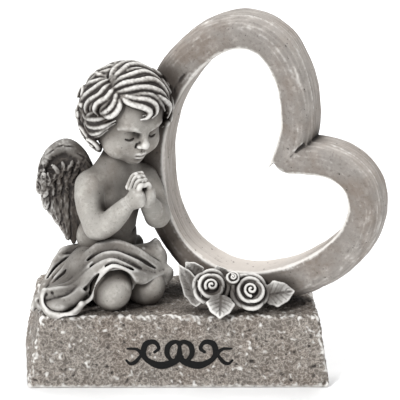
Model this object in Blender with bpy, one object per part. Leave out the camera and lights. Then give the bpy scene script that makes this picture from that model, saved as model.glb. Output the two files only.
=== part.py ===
"""Kneeling cherub beside an open heart on a rough-cut plinth: a cast resin keepsake, built in metres."""

import math

import bmesh
import bpy
from mathutils import Matrix, Vector

# Driving dimensions, in millimetres
MM = 0.001
GAP = 0.3

PLINTH_BOTTOM = (135.0, 65.6)
PLINTH_TOP = (123.7, 55.6)
PLINTH_HEIGHT = 32.4
PLINTH_EDGE = 2.2

RING_CENTRE = (44.0, -4.0)
RING_TURN = math.radians(21.5)
RING_HALF_BAND = 6.5
RING_HALF_DEPTH = 10.0
RING_FOOT = PLINTH_HEIGHT + GAP
DOWEL_RADIUS = 1.5
DOWEL_STATIONS = (-20.0, -9.0)
DOWEL_BOTTOM = 20.0
DOWEL_TOP = 38.6

FLOURISH_CENTRE_Z = 14.6
FLOURISH_DEPTH = 1.3
FLOURISH_RECESS = 0.25

HEAD_CENTRE = (-24.8, -2.0, 117.4)
HEAD_YAW = math.radians(33.0)
HEAD_PITCH = math.radians(16.0)
SKULL = (16.6, 17.4, 18.4)

BROW_RADIUS = 0.9

# The locks lie a little inside their guide spots: scaled by the first and lowered by the second
HAIR_FIT = 0.95
HAIR_SINK = 0.6

# Edge length of the skins, and for the hidden copies that cut room for neighbours
VOXEL = 0.7
ROOM_VOXEL = 0.5
ROOM_TRIANGLES = 3000

# Centreline of the heart in its own plane: (point, handle before, handle after), all as (across, up)
HEART = (
    ((6.2, 100.8), (11.0, 101.3), (8.6, 108.5)),
    ((9.2, 119.0), (9.5, 113.0), (8.6, 132.5)),
    ((-16.0, 155.5), (1.5, 155.5), (-35.6, 155.5)),
    ((-57.9, 97.0), (-57.9, 128.5), (-57.9, 61.5)),
    ((-14.0, 39.1), (-37.5, 39.1), (12.0, 39.1)),
    ((41.5, 81.0), (41.5, 59.2), (41.5, 93.5)),
    ((19.5, 101.6), (31.5, 101.4), (15.0, 101.7)),
)

STONE = (0.42, 0.39, 0.36)
TRIM = (0.46, 0.43, 0.40)
BLACK = (0.012, 0.012, 0.013)
STEEL = (0.55, 0.55, 0.56)


def clear_scene():
    for obj in list(bpy.data.objects):
        bpy.data.objects.remove(obj, do_unlink=True)


def paint(obj, colour, roughness=0.75, metallic=0.0):
    """Gives the object its own material."""
    mat = bpy.data.materials.new(obj.name)
    mat.use_nodes = True
    shader = mat.node_tree.nodes["Principled BSDF"]
    shader.inputs["Base Color"].default_value = (*colour, 1.0)
    shader.inputs["Roughness"].default_value = roughness
    shader.inputs["Metallic"].default_value = metallic
    mat.diffuse_color = (*colour, 1.0)
    obj.data.materials.clear()
    obj.data.materials.append(mat)


def to_object(name, bm, smooth=True):
    """A bmesh in millimetres becomes an object in metres."""
    bmesh.ops.scale(bm, vec=(MM, MM, MM), verts=bm.verts)
    mesh = bpy.data.meshes.new(name)
    bm.to_mesh(mesh)
    bm.free()
    mesh.polygons.foreach_set("use_smooth", [smooth] * len(mesh.polygons))
    obj = bpy.data.objects.new(name, mesh)
    bpy.context.scene.collection.objects.link(obj)
    return obj


def bake(obj):
    """Replaces the object's mesh by its evaluated one and drops the modifiers."""
    bpy.context.view_layer.update()
    graph = bpy.context.evaluated_depsgraph_get()
    mesh = bpy.data.meshes.new_from_object(obj.evaluated_get(graph))
    obj.modifiers.clear()
    obj.data = mesh
    mesh.polygons.foreach_set("use_smooth", [True] * len(mesh.polygons))


def islands(bm):
    """Lists of faces joined edge to edge, the longest first."""
    left = set(bm.faces)
    groups = []
    for seed in bm.faces:
        if seed not in left:
            continue
        left.discard(seed)
        group = [seed]
        for face in group:
            for edge in face.edges:
                for other in edge.link_faces:
                    if other in left:
                        left.discard(other)
                        group.append(other)
        groups.append(group)
    return sorted(groups, key=len, reverse=True)


def keep_largest(obj):
    bm = bmesh.new()
    bm.from_mesh(obj.data)
    for group in islands(bm)[1:]:
        bmesh.ops.delete(bm, geom=group, context="FACES")
    bm.to_mesh(obj.data)
    bm.free()


def ball(bm, centre, radii, turn=0.0, nod=0.0, rings=12):
    """An ellipsoid with radii (left-right, front-back, up-down), turned about Z and nodding forward."""
    place = Matrix.Translation(centre) @ Matrix.Rotation(turn, 4, "Z") @ Matrix.Rotation(nod, 4, "X")
    place = place @ Matrix.Diagonal((*radii, 1.0))
    bmesh.ops.create_uvsphere(bm, u_segments=rings * 2, v_segments=rings, radius=1.0, matrix=place)


def limb(bm, path, sides=14):
    """A tapered round limb through (x, y, z, radius) stations, with rounded joints."""
    for start, end in zip(path, path[1:]):
        low, high = Vector(start[:3]), Vector(end[:3])
        axis = high - low
        place = Matrix.Translation((low + high) / 2) @ axis.to_track_quat("Z", "Y").to_matrix().to_4x4()
        bmesh.ops.create_cone(
            bm,
            cap_ends=True,
            segments=sides,
            radius1=start[3],
            radius2=end[3],
            depth=axis.length,
            matrix=place,
        )
    for x, y, z, radius in path:
        ball(bm, (x, y, z), (radius, radius, radius), rings=max(6, sides // 2))


def smooth_path(points, count):
    """Points of a smooth path through (x, y, z, radius) stations."""
    rows = [Vector(point) for point in points]
    padded = [2 * rows[0] - rows[1], *rows, 2 * rows[-1] - rows[-2]]
    found = []
    for i in range(len(rows) - 1):
        a, b, c, d = padded[i : i + 4]
        for step in range(count):
            t = step / count
            square = (2 * a - 5 * b + 4 * c - d) * t**2
            cube = (3 * b - a - 3 * c + d) * t**3
            found.append(0.5 * (2 * b + (c - a) * t + square + cube))
    found.append(rows[-1])
    return found


def lock(bm, points, count=3, sides=8):
    """A curved tapered strand, such as a lock of hair or a fold's ridge."""
    limb(bm, [tuple(point) for point in smooth_path([Vector(p) for p in points], count)], sides)


def skin(obj, voxel, soften=0):
    """Wraps the object in one even skin, which joins the shapes that overlap in it."""
    remesh = obj.modifiers.new("join", "REMESH")
    remesh.mode = "VOXEL"
    remesh.voxel_size = voxel * MM
    remesh.adaptivity = 0.0
    if soften:
        smooth = obj.modifiers.new("soften", "SMOOTH")
        smooth.factor = 0.5
        smooth.iterations = soften
    bake(obj)


def thin(obj, faces):
    """Brings the object down to about this number of triangles."""
    triangles = sum(len(face.vertices) - 2 for face in obj.data.polygons)
    fewer = obj.modifiers.new("thin", "DECIMATE")
    fewer.ratio = min(1.0, faces / triangles)
    fewer.use_collapse_triangulate = True
    bake(obj)


def fused(name, bm, faces, voxel=VOXEL, smooth=3):
    """Joins overlapping closed shapes into one skin with about the given number of triangles."""
    obj = to_object(name, bm)
    skin(obj, voxel, smooth)
    thin(obj, faces)
    keep_largest(obj)
    obj["soft"] = True
    return obj


def swollen(obj, gap):
    """A hidden copy of the object, larger by the gap all round."""
    bm = bmesh.new()
    bm.from_mesh(obj.data)
    bmesh.ops.triangulate(bm, faces=bm.faces)
    bm.normal_update()
    moved = [(vert, vert.co + vert.normal * gap * MM) for vert in bm.verts]
    for vert, place in moved:
        vert.co = place
    mesh = bpy.data.meshes.new(obj.name + "_room")
    bm.to_mesh(mesh)
    bm.free()
    helper = bpy.data.objects.new(obj.name + "_room", mesh)
    bpy.context.scene.collection.objects.link(helper)
    helper.hide_render = True
    helper.display_type = "WIRE"
    if obj.get("soft"):
        skin(helper, ROOM_VOXEL)
        thin(helper, ROOM_TRIANGLES)
    return helper


def volume(mesh):
    """The mesh's volume, or nothing when it isn't closed."""
    bm = bmesh.new()
    bm.from_mesh(mesh)
    whole = bool(bm.faces) and all(edge.is_manifold for edge in bm.edges)
    found = bm.calc_volume() if whole else 0.0
    bm.free()
    return found


def near(one, other, gap):
    """Whether the boxes of two objects come within the gap."""
    boxes = []
    for obj in (one, other):
        places = [vert.co for vert in obj.data.vertices]
        boxes.append([(min(p[i] for p in places), max(p[i] for p in places)) for i in range(3)])
    reach = gap * 2 * MM
    return all(a[0] - reach < b[1] and b[0] - reach < a[1] for a, b in zip(*boxes))


def carve(obj, *others, gap=GAP):
    """Cuts room for neighbours out of the object, so that the two never touch."""
    for other in others:
        if not near(obj, other, gap):
            continue
        before = obj.data
        for slack in (0.0, 0.04, 0.08, 0.12):
            helper = swollen(other, gap + slack)
            obj.data = before.copy()
            cut = obj.modifiers.new("room", "BOOLEAN")
            cut.operation = "DIFFERENCE"
            cut.solver = "EXACT"
            cut.object = helper
            bake(obj)
            bpy.data.objects.remove(helper, do_unlink=True)
            tidy_mesh(obj)
            keep_largest(obj)
            if volume(obj.data) > 0.15 * volume(before):
                break


def mend(obj, faces, voxel=0.4):
    """Skins the object afresh, which rounds off the slivers that the cuts leave."""
    skin(obj, voxel)
    keep_largest(obj)
    thin(obj, faces)


def tidy_mesh(obj):
    bm = bmesh.new()
    bm.from_mesh(obj.data)
    bmesh.ops.remove_doubles(bm, verts=bm.verts, dist=2e-6)
    bmesh.ops.dissolve_degenerate(bm, dist=2e-6, edges=bm.edges)
    bmesh.ops.triangulate(bm, faces=bm.faces)
    bm.to_mesh(obj.data)
    bm.free()


# Plinth and the things set into it


def frustum(bm, bottom, top, low, high):
    """A four-sided tapered block."""
    corners = ((-0.5, -0.5), (0.5, -0.5), (0.5, 0.5), (-0.5, 0.5))
    lower = [bm.verts.new((bottom[0] * x, bottom[1] * y, low)) for x, y in corners]
    upper = [bm.verts.new((top[0] * x, top[1] * y, high)) for x, y in corners]
    bm.faces.new(lower[::-1])
    bm.faces.new(upper)
    for i in range(4):
        j = (i + 1) % 4
        bm.faces.new((lower[i], lower[j], upper[j], upper[i]))


def make_plinth():
    bm = bmesh.new()
    frustum(bm, PLINTH_BOTTOM, PLINTH_TOP, 0.0, PLINTH_HEIGHT)
    obj = to_object("plinth", bm, smooth=False)
    edge = obj.modifiers.new("worn_edge", "BEVEL")
    edge.width = PLINTH_EDGE * MM
    edge.segments = 3
    bake(obj)
    paint(obj, STONE, 0.85)
    return obj


def front_face():
    """The plinth's sloping front as (origin, up the slope, out of the face)."""
    run = (PLINTH_BOTTOM[1] - PLINTH_TOP[1]) / 2
    slope = Vector((0.0, run, PLINTH_HEIGHT)).normalized()
    outward = Vector((0.0, -slope.z, slope.y))
    height = FLOURISH_CENTRE_Z
    depth = -PLINTH_BOTTOM[1] / 2 + run * height / PLINTH_HEIGHT
    return Vector((0.0, depth, height)), slope, outward


def ribbon(bm, stations, low, high, widen=0.0):
    """A flat stroke along (across, up, half width) stations on the plinth's front, between two depths."""
    origin, slope, outward = front_face()
    side = Vector((1.0, 0.0, 0.0))
    smooth = [Vector((u, v, w, 0.0)) for u, v, w in stations]
    rows = smooth_path(smooth, 5)
    loops = []
    for i, row in enumerate(rows):
        before, after = rows[max(i - 1, 0)], rows[min(i + 1, len(rows) - 1)]
        run = Vector((after[0] - before[0], after[1] - before[1])).normalized()
        half = row[2] + widen
        loop = []
        for sign, depth in ((1, low), (-1, low), (-1, high), (1, high)):
            u = row[0] - run.y * half * sign
            v = row[1] + run.x * half * sign
            if i == 0:
                u, v = u - run.x * widen, v - run.y * widen
            if i == len(rows) - 1:
                u, v = u + run.x * widen, v + run.y * widen
            loop.append(bm.verts.new(origin + side * u + slope * v + outward * depth))
        loops.append(loop)
    for a, b in zip(loops, loops[1:]):
        for i in range(4):
            j = (i + 1) % 4
            bm.faces.new((a[i], a[j], b[j], b[i]))
    bm.faces.new(loops[0][::-1])
    bm.faces.new(loops[-1])


# Strokes of the painted scroll, for one half: (across, up, half width)
SCROLL = (
    (
        (-1.0, -0.6, 1.0), (3.5, -3.2, 1.5), (9.0, -4.2, 1.6),
        (14.5, -1.6, 1.1), (18.5, 2.8, 0.7), (23.0, 3.3, 0.4),
    ),
    (
        (12.4, -3.2, 0.7), (15.8, 0.4, 1.2), (15.0, 5.2, 1.3),
        (11.2, 6.3, 1.0), (9.2, 3.6, 0.8), (11.0, 1.8, 0.7),
    ),
    ((2.6, -3.0, 0.7), (5.4, 0.6, 1.1), (4.9, 4.6, 1.2), (2.0, 6.4, 0.9), (-0.6, 5.4, 0.8)),
    ((0.0, 0.8, 1.3), (0.0, 2.6, 1.0), (0.0, 6.0, 0.5)),
    ((16.6, 0.8, 0.6), (19.2, -2.5, 0.9), (21.6, -3.5, 0.7), (23.4, -2.0, 0.5)),
)


def scroll_block(name, low, high, widen, faces):
    """All strokes of the scroll and their mirror images, joined into one solid."""
    bm = bmesh.new()
    for sign in (1, -1):
        for stroke in SCROLL:
            ribbon(bm, [(u * sign, v, w) for u, v, w in stroke], low, high, widen)
    return fused(name, bm, faces, 0.2, 0)


def make_flourish(plinth):
    cutter = scroll_block("groove", -FLOURISH_DEPTH - GAP, 2.0, GAP, 640)
    cutter.hide_render = True
    cut = plinth.modifiers.new("groove", "BOOLEAN")
    cut.operation = "DIFFERENCE"
    cut.solver = "EXACT"
    cut.object = cutter
    bake(plinth)
    tidy_mesh(plinth)
    bpy.data.objects.remove(cutter, do_unlink=True)
    fill = scroll_block("front_flourish", -FLOURISH_DEPTH, -FLOURISH_RECESS, 0.0, 640)
    paint(fill, BLACK, 0.55)
    plinth.data.polygons.foreach_set("use_smooth", [False] * len(plinth.data.polygons))
    return fill


# Heart ring


def ring_place(across, depth, up):
    """From the heart's own plane to the world."""
    side = Vector((math.cos(RING_TURN), -math.sin(RING_TURN), 0.0))
    back = Vector((math.sin(RING_TURN), math.cos(RING_TURN), 0.0))
    return Vector((*RING_CENTRE, 0.0)) + side * across + back * depth + Vector((0.0, 0.0, up))


def heart_path(count=9):
    """The heart's centreline as a closed list of (across, up)."""
    found = []
    for i, (start, _, out) in enumerate(HEART):
        end, into, _ = HEART[(i + 1) % len(HEART)]
        a, b, c, d = (Vector(p) for p in (start, out, into, end))
        steps = {0: 2, len(HEART) - 1: 1}.get(i, count)
        for step in range(steps):
            t = step / steps
            found.append(a * (1 - t) ** 3 + 3 * b * t * (1 - t) ** 2 + 3 * c * t * t * (1 - t) + d * t**3)
    return found


def ring_section():
    """Cross-section as (outward, backward): round outer corners and tighter inner ones."""
    half, deep = RING_HALF_BAND, RING_HALF_DEPTH
    corners = (
        (half, -deep, 4.6, 4),
        (half, deep, 4.0, 3),
        (-half, deep, 1.6, 2),
        (-half, -deep, 1.6, 2),
    )
    found = []
    for n, (u, v, radius, steps) in enumerate(corners):
        cu = u - math.copysign(radius, u)
        cv = v - math.copysign(radius, v)
        start = math.radians(-90 + 90 * n)
        for step in range(steps + 1):
            angle = start + math.radians(90) * step / steps
            found.append((cu + radius * math.cos(angle), cv + radius * math.sin(angle)))
    return found


def make_ring():
    path = heart_path()
    section = ring_section()
    bm = bmesh.new()
    loops = []
    for i, point in enumerate(path):
        back = (point - path[i - 1]).normalized()
        ahead = (path[(i + 1) % len(path)] - point).normalized()
        normal = Vector((back.y + ahead.y, -back.x - ahead.x)).normalized()
        normal /= max(0.5, normal.dot(Vector((ahead.y, -ahead.x))))
        if normal.dot(Vector((ahead.y, -ahead.x))) < 0:
            normal = -normal
        loop = []
        for u, v in section:
            spot = point - normal * u
            loop.append(bm.verts.new(ring_place(spot.x, v, spot.y)))
        loops.append(loop)
    for a, b in zip(loops, loops[1:] + loops[:1]):
        for i in range(len(section)):
            j = (i + 1) % len(section)
            bm.faces.new((a[i], a[j], b[j], b[i]))
    bmesh.ops.recalc_face_normals(bm, faces=bm.faces)
    bmesh.ops.triangulate(bm, faces=bm.faces)
    obj = to_object("heart_ring", bm)
    bm = bmesh.new()
    slab = Matrix.Translation((30, 0, RING_FOOT - 10)) @ Matrix.Diagonal((90, 60, 20, 1))
    bmesh.ops.create_cube(bm, size=1.0, matrix=slab)
    floor = to_object("foot_cut", bm)
    floor.hide_render = True
    cut = obj.modifiers.new("foot", "BOOLEAN")
    cut.operation = "DIFFERENCE"
    cut.solver = "EXACT"
    cut.object = floor
    bake(obj)
    bpy.data.objects.remove(floor, do_unlink=True)
    tidy_mesh(obj)
    paint(obj, STONE, 0.75)
    return obj


def make_dowels(plinth, ring):
    dowels = []
    for name, across in zip(("heart_dowel_left", "heart_dowel_right"), DOWEL_STATIONS):
        spot = ring_place(across, 0.0, 0.0)
        for target, low, high, radius in (
            (plinth, DOWEL_BOTTOM - GAP, PLINTH_HEIGHT + 5, DOWEL_RADIUS + GAP),
            (ring, RING_FOOT - 5, DOWEL_TOP + GAP, DOWEL_RADIUS + GAP),
        ):
            helper = cylinder("hole", spot, low, high, radius)
            helper.hide_render = True
            cut = target.modifiers.new("hole", "BOOLEAN")
            cut.operation = "DIFFERENCE"
            cut.solver = "EXACT"
            cut.object = helper
            bake(target)
            bpy.data.objects.remove(helper, do_unlink=True)
            tidy_mesh(target)
        dowel = cylinder(name, spot, DOWEL_BOTTOM, DOWEL_TOP, DOWEL_RADIUS)
        paint(dowel, STEEL, 0.35, 1.0)
        dowels.append(dowel)
    return dowels


def cylinder(name, spot, low, high, radius):
    bm = bmesh.new()
    place = Matrix.Translation((spot.x, spot.y, (low + high) / 2))
    bmesh.ops.create_cone(
        bm, cap_ends=True, segments=16, radius1=radius, radius2=radius, depth=high - low, matrix=place
    )
    return to_object(name, bm)


# Cherub's body

BODY_TURN = math.radians(32.0)
BODY_MIDDLE = (-28.5, 2.0, 0.0)


def make_torso():
    bm = bmesh.new()
    ball(bm, (-31.5, 5.0, 46.5), (14.5, 12.5, 12.0), BODY_TURN)
    ball(bm, (-31.5, 2.8, 60.0), (14.4, 11.5, 11.5), BODY_TURN)
    ball(bm, (-29.0, 2.2, 74.0), (13.2, 10.0, 13.0), BODY_TURN)
    limb(bm, ((-38.5, -4.0, 85.5, 6.0), (-28.0, 2.5, 87.0, 7.0), (-16.0, 8.0, 85.5, 6.0)))
    limb(bm, ((-28.5, 1.5, 90.0, 7.4), (-26.0, -0.5, 101.0, 6.6)))
    limb(bm, ((-36.0, -1.5, 87.0, 5.0), (-29.5, 0.5, 95.5, 4.6)))
    obj = fused("torso", bm, 800, smooth=8)
    paint(obj, STONE)
    return obj


def make_legs():
    found = []
    sets = (
        ("right_leg", (-36.0, 1.0, 46.0), (-30.0, -17.5, 41.0), (-45.0, 9.0, 38.0), (-48.5, 15.0, 36.5)),
        ("left_leg", (-25.0, 7.0, 46.0), (-14.4, -8.2, 40.2), (-28.0, 19.0, 38.0), (-32.0, 24.0, 36.5)),
    )
    for name, hip, knee, ankle, toe in sets:
        bm = bmesh.new()
        limb(bm, ((*hip, 8.4), (*knee, 8.4)))
        ball(bm, (knee[0], knee[1], knee[2] - 0.4), (8.7, 8.7, 9.6))
        shin = (knee[0] - 1.0, knee[1] + 3.0, knee[2] - 1.5)
        limb(bm, ((*shin, 6.8), (*ankle, 4.2), (*toe, 3.4)))
        obj = fused(name, bm, 520, smooth=5)
        paint(obj, STONE)
        found.append(obj)
    return found


def make_arms():
    found = []
    sets = (
        (
            "right_arm",
            ((-40.0, -6.0, 84.5, 6.4), (-39.6, -11.0, 76.0, 5.4), (-36.0, -15.0, 69.0, 5.0)),
            ((-36.0, -15.0, 69.0, 5.0), (-30.0, -18.5, 74.0, 4.8), (-23.6, -21.5, 82.0, 3.4)),
        ),
        (
            "left_arm",
            ((-13.2, 8.5, 84.0, 6.2), (-10.8, 3.0, 78.0, 5.4), (-9.6, -4.0, 71.5, 5.4)),
            ((-9.6, -4.0, 71.5, 5.4), (-11.4, -10.0, 75.5, 5.2), (-15.0, -17.0, 82.5, 3.4)),
        ),
    )
    for name, upper, lower in sets:
        bm = bmesh.new()
        limb(bm, upper)
        limb(bm, lower)
        obj = fused(name, bm, 420, smooth=5)
        paint(obj, STONE)
        found.append(obj)
    return found


def make_hands():
    """Two hands pressed together, each a palm with four fingers and a thumb."""
    ahead = Vector((math.sin(BODY_TURN), -math.cos(BODY_TURN), 0.0))
    left = Vector((math.cos(BODY_TURN), math.sin(BODY_TURN), 0.0))
    found = []
    sets = (("right_hand", -1.0, (-18.4, -21.6)), ("left_hand", 1.0, (-16.4, -20.4)))
    for name, side, foot in sets:
        base = Vector((*foot, 86.0)) + left * side * 1.6
        bm = bmesh.new()
        ball(bm, base, (2.6, 4.9, 6.2), BODY_TURN)
        limb(bm, ((*(base - ahead * 2.0 - Vector((0, 0, 4.5))), 3.1), (*base, 2.7)))
        for n in range(4):
            reach = -3.6 + 2.3 * n
            root = base + ahead * reach + Vector((0, 0, 3.0 - abs(n - 1.5) * 0.4))
            mid = root + ahead * 0.6 + Vector((0, 0, 4.2)) - left * side * 0.3
            tip = mid + ahead * 1.4 + Vector((0, 0, 2.4 - 0.5 * abs(n - 1.3))) - left * side * 0.9
            lock(bm, ((*root, 1.5), (*mid, 1.45), (*tip, 1.1)), 2)
        thumb = base - ahead * 3.4 + Vector((0, 0, 1.0))
        lock(bm, ((*thumb, 1.5), (*(thumb + Vector((0, 0, 4.5)) - ahead * 0.6), 1.2)), 2)
        obj = fused(name, bm, 460, 0.4, 2)
        paint(obj, STONE)
        found.append(obj)
    return found


# Head and hair


def head_place(side, ahead, up):
    """A spot given from the middle of the head: to its left, ahead of it and above it."""
    spin = Matrix.Rotation(HEAD_YAW, 4, "Z") @ Matrix.Rotation(HEAD_PITCH, 4, "X")
    return Vector(HEAD_CENTRE) + spin.to_3x3() @ Vector((side, -ahead, up))


def make_head():
    """A plain child's head with closed eyes."""
    bm = bmesh.new()
    ball(bm, HEAD_CENTRE, SKULL, HEAD_YAW, HEAD_PITCH, 16)
    ball(bm, head_place(0, 4.0, -7.5), (13.2, 12.0, 11.0), HEAD_YAW, HEAD_PITCH)
    ball(bm, head_place(0, 12.0, -14.6), (4.2, 3.6, 3.4), HEAD_YAW, HEAD_PITCH)
    for side in (-1, 1):
        ball(bm, head_place(7.4 * side, 9.6, -9.0), (5.6, 5.2, 5.6), HEAD_YAW, HEAD_PITCH)
        ball(bm, head_place(5.9 * side, 14.2, -2.9), (3.3, 2.2, 1.9), HEAD_YAW, HEAD_PITCH)
        ball(bm, head_place(15.6 * side, 0.5, -4.5), (1.8, 3.0, 4.0), HEAD_YAW, HEAD_PITCH)
        brow = ((2.2, 16.6, 1.2), (5.6, 16.0, 2.0), (9.0, 14.0, 0.8))
        lock(bm, [(*head_place(s * side, a, u), BROW_RADIUS) for s, a, u in brow])
    nose = [head_place(0, a, u) for a, u in ((16.2, 0.0), (17.4, -3.2), (18.6, -6.4))]
    limb(bm, ((*nose[0], 1.5), (*nose[1], 1.6), (*nose[2], 2.0)))
    for side in (-1, 1):
        ball(bm, head_place(1.9 * side, 16.8, -7.0), (1.2, 1.4, 1.1), HEAD_YAW, HEAD_PITCH)
        lip = ((0.0, 16.2, -10.4), (1.8, 15.9, -10.7), (3.4, 14.9, -11.2))
        lock(bm, [(*head_place(s * side, a, u), 0.9 - 0.12 * s) for s, a, u in lip])
        low = ((0.0, 15.7, -12.2), (1.5, 15.5, -12.0), (2.7, 14.9, -11.6))
        lock(bm, [(*head_place(s * side, a, u), 0.95 - 0.15 * s) for s, a, u in low])
    obj = fused("head", bm, 1350, 0.5, 2)
    paint(obj, STONE)
    return obj


# Locks of hair on the head, each as four spots (left, ahead, up) from root to tip
LOCK_RADII = (2.3, 2.6, 2.5, 1.5)
FRINGE = (
    ((-6.0, 6.0, 20.0), (2.0, 15.0, 16.5), (10.0, 16.5, 9.0), (13.0, 14.0, 3.5)),
    ((-6.5, 3.5, 21.0), (3.0, 11.0, 19.0), (12.5, 13.0, 12.0), (17.0, 10.0, 3.0)),
    ((-6.5, 0.5, 21.8), (3.0, 6.5, 21.5), (13.5, 8.5, 15.5), (19.0, 6.5, 4.0)),
    ((-6.0, -3.0, 22.0), (4.0, 1.0, 22.5), (14.5, 3.0, 17.0), (20.0, 1.5, 5.0)),
    ((-5.0, -6.5, 21.0), (5.0, -4.0, 21.5), (15.0, -3.0, 16.0), (20.0, -3.5, 4.0)),
    ((-6.0, 8.5, 18.5), (-0.5, 16.5, 14.5), (5.5, 18.5, 9.5), (7.5, 17.0, 4.5)),
    ((-8.0, 9.0, 17.5), (-9.5, 14.5, 12.5), (-11.0, 14.0, 6.0), (-13.5, 10.5, 2.0)),
    ((-8.5, 6.5, 19.0), (-12.5, 11.5, 13.0), (-15.0, 10.0, 5.0), (-17.0, 5.5, -1.5)),
    ((-8.5, 3.5, 20.0), (-14.5, 6.5, 15.0), (-18.0, 5.0, 6.0), (-18.5, 1.5, -4.0)),
    ((-8.0, 0.0, 21.0), (-15.0, 0.5, 16.5), (-19.5, -0.5, 7.0), (-18.5, -2.0, -8.0)),
    ((-7.0, -4.0, 21.0), (-15.0, -5.5, 15.5), (-19.5, -6.0, 5.0), (-17.5, -5.0, -10.0)),
    ((-5.0, -8.0, 20.0), (-12.0, -12.5, 13.0), (-15.5, -13.5, 3.0), (-12.5, -12.0, -12.0)),
    ((0.0, -9.0, 20.0), (-4.0, -17.0, 12.0), (-6.0, -19.0, 2.0), (-5.0, -15.5, -12.0)),
    ((4.0, -9.0, 19.5), (6.0, -17.0, 11.0), (5.0, -19.0, 1.0), (4.0, -15.5, -12.0)),
    ((9.0, -7.0, 18.5), (14.0, -12.0, 11.0), (14.5, -13.5, 1.0), (11.5, -12.0, -11.0)),
    ((12.0, -2.0, 17.0), (18.0, -4.0, 10.0), (19.0, -5.0, 0.0), (16.5, -5.0, -10.0)),
)


def make_hair(head):
    bm = bmesh.new()
    ball(bm, head_place(0, -1.2, 1.5), (18.3, 18.6, 19.2), HEAD_YAW, HEAD_PITCH, 16)
    cap = to_object("cap", bm)
    bm = bmesh.new()
    place = Matrix.Rotation(HEAD_YAW, 4, "Z") @ Matrix.Rotation(HEAD_PITCH + math.radians(38), 4, "X")
    place = Matrix.Translation(head_place(0, 20.0, -24.0)) @ place @ Matrix.Diagonal((60, 50, 50, 1))
    bmesh.ops.create_cube(bm, size=1.0, matrix=place)
    window = to_object("window", bm)
    window.hide_render = True
    cut = cap.modifiers.new("window", "BOOLEAN")
    cut.operation = "DIFFERENCE"
    cut.solver = "EXACT"
    cut.object = window
    bake(cap)
    bm = bmesh.new()
    bm.from_mesh(cap.data)
    bmesh.ops.scale(bm, vec=(1 / MM, 1 / MM, 1 / MM), verts=bm.verts)
    bpy.data.objects.remove(cap, do_unlink=True)
    bpy.data.objects.remove(window, do_unlink=True)
    for strand in FRINGE:
        spots = [(side * HAIR_FIT, ahead * HAIR_FIT, up * HAIR_FIT - HAIR_SINK) for side, ahead, up in strand]
        lock(bm, [(*head_place(*spot), radius) for spot, radius in zip(spots, LOCK_RADII)])
    obj = fused("hair", bm, 9000, 0.6, 1)
    carve(obj, head)
    paint(obj, STONE)
    return obj


# Drape over the lap: ridges from the gathered knot over the thighs to the hem, as (x, y, z, radius)

DRAPE_RIDGES = (
    (
        (-6.0, -8.0, 46.5, 2.8), (-16.0, -12.0, 53.0, 2.6), (-26.0, -17.0, 59.0, 2.6),
        (-36.0, -16.5, 59.5, 2.6), (-45.0, -10.0, 52.5, 2.6), (-55.0, -7.0, 43.5, 2.4),
        (-62.0, -10.0, 36.5, 2.2),
    ),
    (
        (-6.5, -9.0, 45.5, 2.6), (-15.0, -15.5, 50.5, 2.6), (-25.0, -21.0, 55.5, 2.6),
        (-34.0, -22.0, 55.5, 2.6), (-43.0, -17.0, 48.5, 2.6), (-52.0, -15.0, 42.0, 2.4),
        (-60.5, -16.0, 36.5, 2.2),
    ),
    (
        (-7.0, -10.0, 44.5, 2.6), (-15.0, -17.0, 47.5, 2.6), (-22.5, -24.0, 50.5, 2.4),
        (-31.0, -26.5, 52.0, 2.4), (-38.5, -24.0, 47.5, 2.4), (-46.0, -22.0, 40.5, 2.4),
        (-54.0, -23.5, 36.5, 2.2), (-59.0, -22.5, 36.5, 2.2),
    ),
    (
        (-6.0, -6.0, 47.0, 2.6), (-8.0, 0.0, 53.0, 2.6), (-12.5, 0.0, 57.0, 2.4), (-20.0, -10.0, 58.5, 2.4),
    ),
)


def make_drape():
    bm = bmesh.new()
    ball(bm, (-32.0, -4.0, 46.5), (19.5, 19.0, 14.0), BODY_TURN)
    ball(bm, (-18.5, -1.0, 46.0), (15.0, 12.5, 11.5), BODY_TURN)
    ball(bm, (-44.5, 6.0, 43.0), (12.5, 14.0, 11.5), BODY_TURN)
    ball(bm, (-34.0, 14.0, 41.5), (18.0, 12.0, 11.0), BODY_TURN)
    limb(bm, ((-44.0, -11.0, 44.0, 8.5), (-52.0, -16.0, 38.5, 6.5), (-58.0, -19.0, 36.2, 3.8)))
    ball(bm, (-51.5, -4.0, 39.5), (10.5, 15.0, 8.5), BODY_TURN)
    for ridge in DRAPE_RIDGES:
        lock(bm, ridge, 3)
    return fused("drape", bm, 4000, 0.6, 3)


# Wings, laid out for the right one: its leading edge as (x, y, z, radius), its quills as (root, tip, width)

WING_EDGE = (
    (-38.0, 5.5, 85.0, 4.6), (-42.5, 8.5, 94.0, 4.8), (-49.5, 10.0, 99.3, 4.0),
    (-56.0, 9.5, 95.5, 3.4), (-59.6, 8.5, 88.0, 3.0), (-59.8, 8.0, 80.0, 2.4),
)
WING_QUILLS = (
    ((-58.8, 8.0, 82.0), (-57.4, 7.4, 71.0), 2.6),
    ((-56.5, 8.4, 80.0), (-54.2, 7.2, 65.0), 2.8),
    ((-53.5, 8.6, 78.0), (-51.2, 7.0, 59.5), 3.0),
    ((-50.5, 8.6, 78.0), (-48.3, 7.0, 56.0), 3.0),
    ((-47.0, 8.6, 78.0), (-45.8, 7.2, 58.5), 2.8),
    ((-43.5, 8.4, 79.0), (-43.6, 7.4, 63.0), 2.6),
    ((-40.5, 8.0, 80.0), (-41.2, 7.2, 68.5), 2.4),
)


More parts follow.
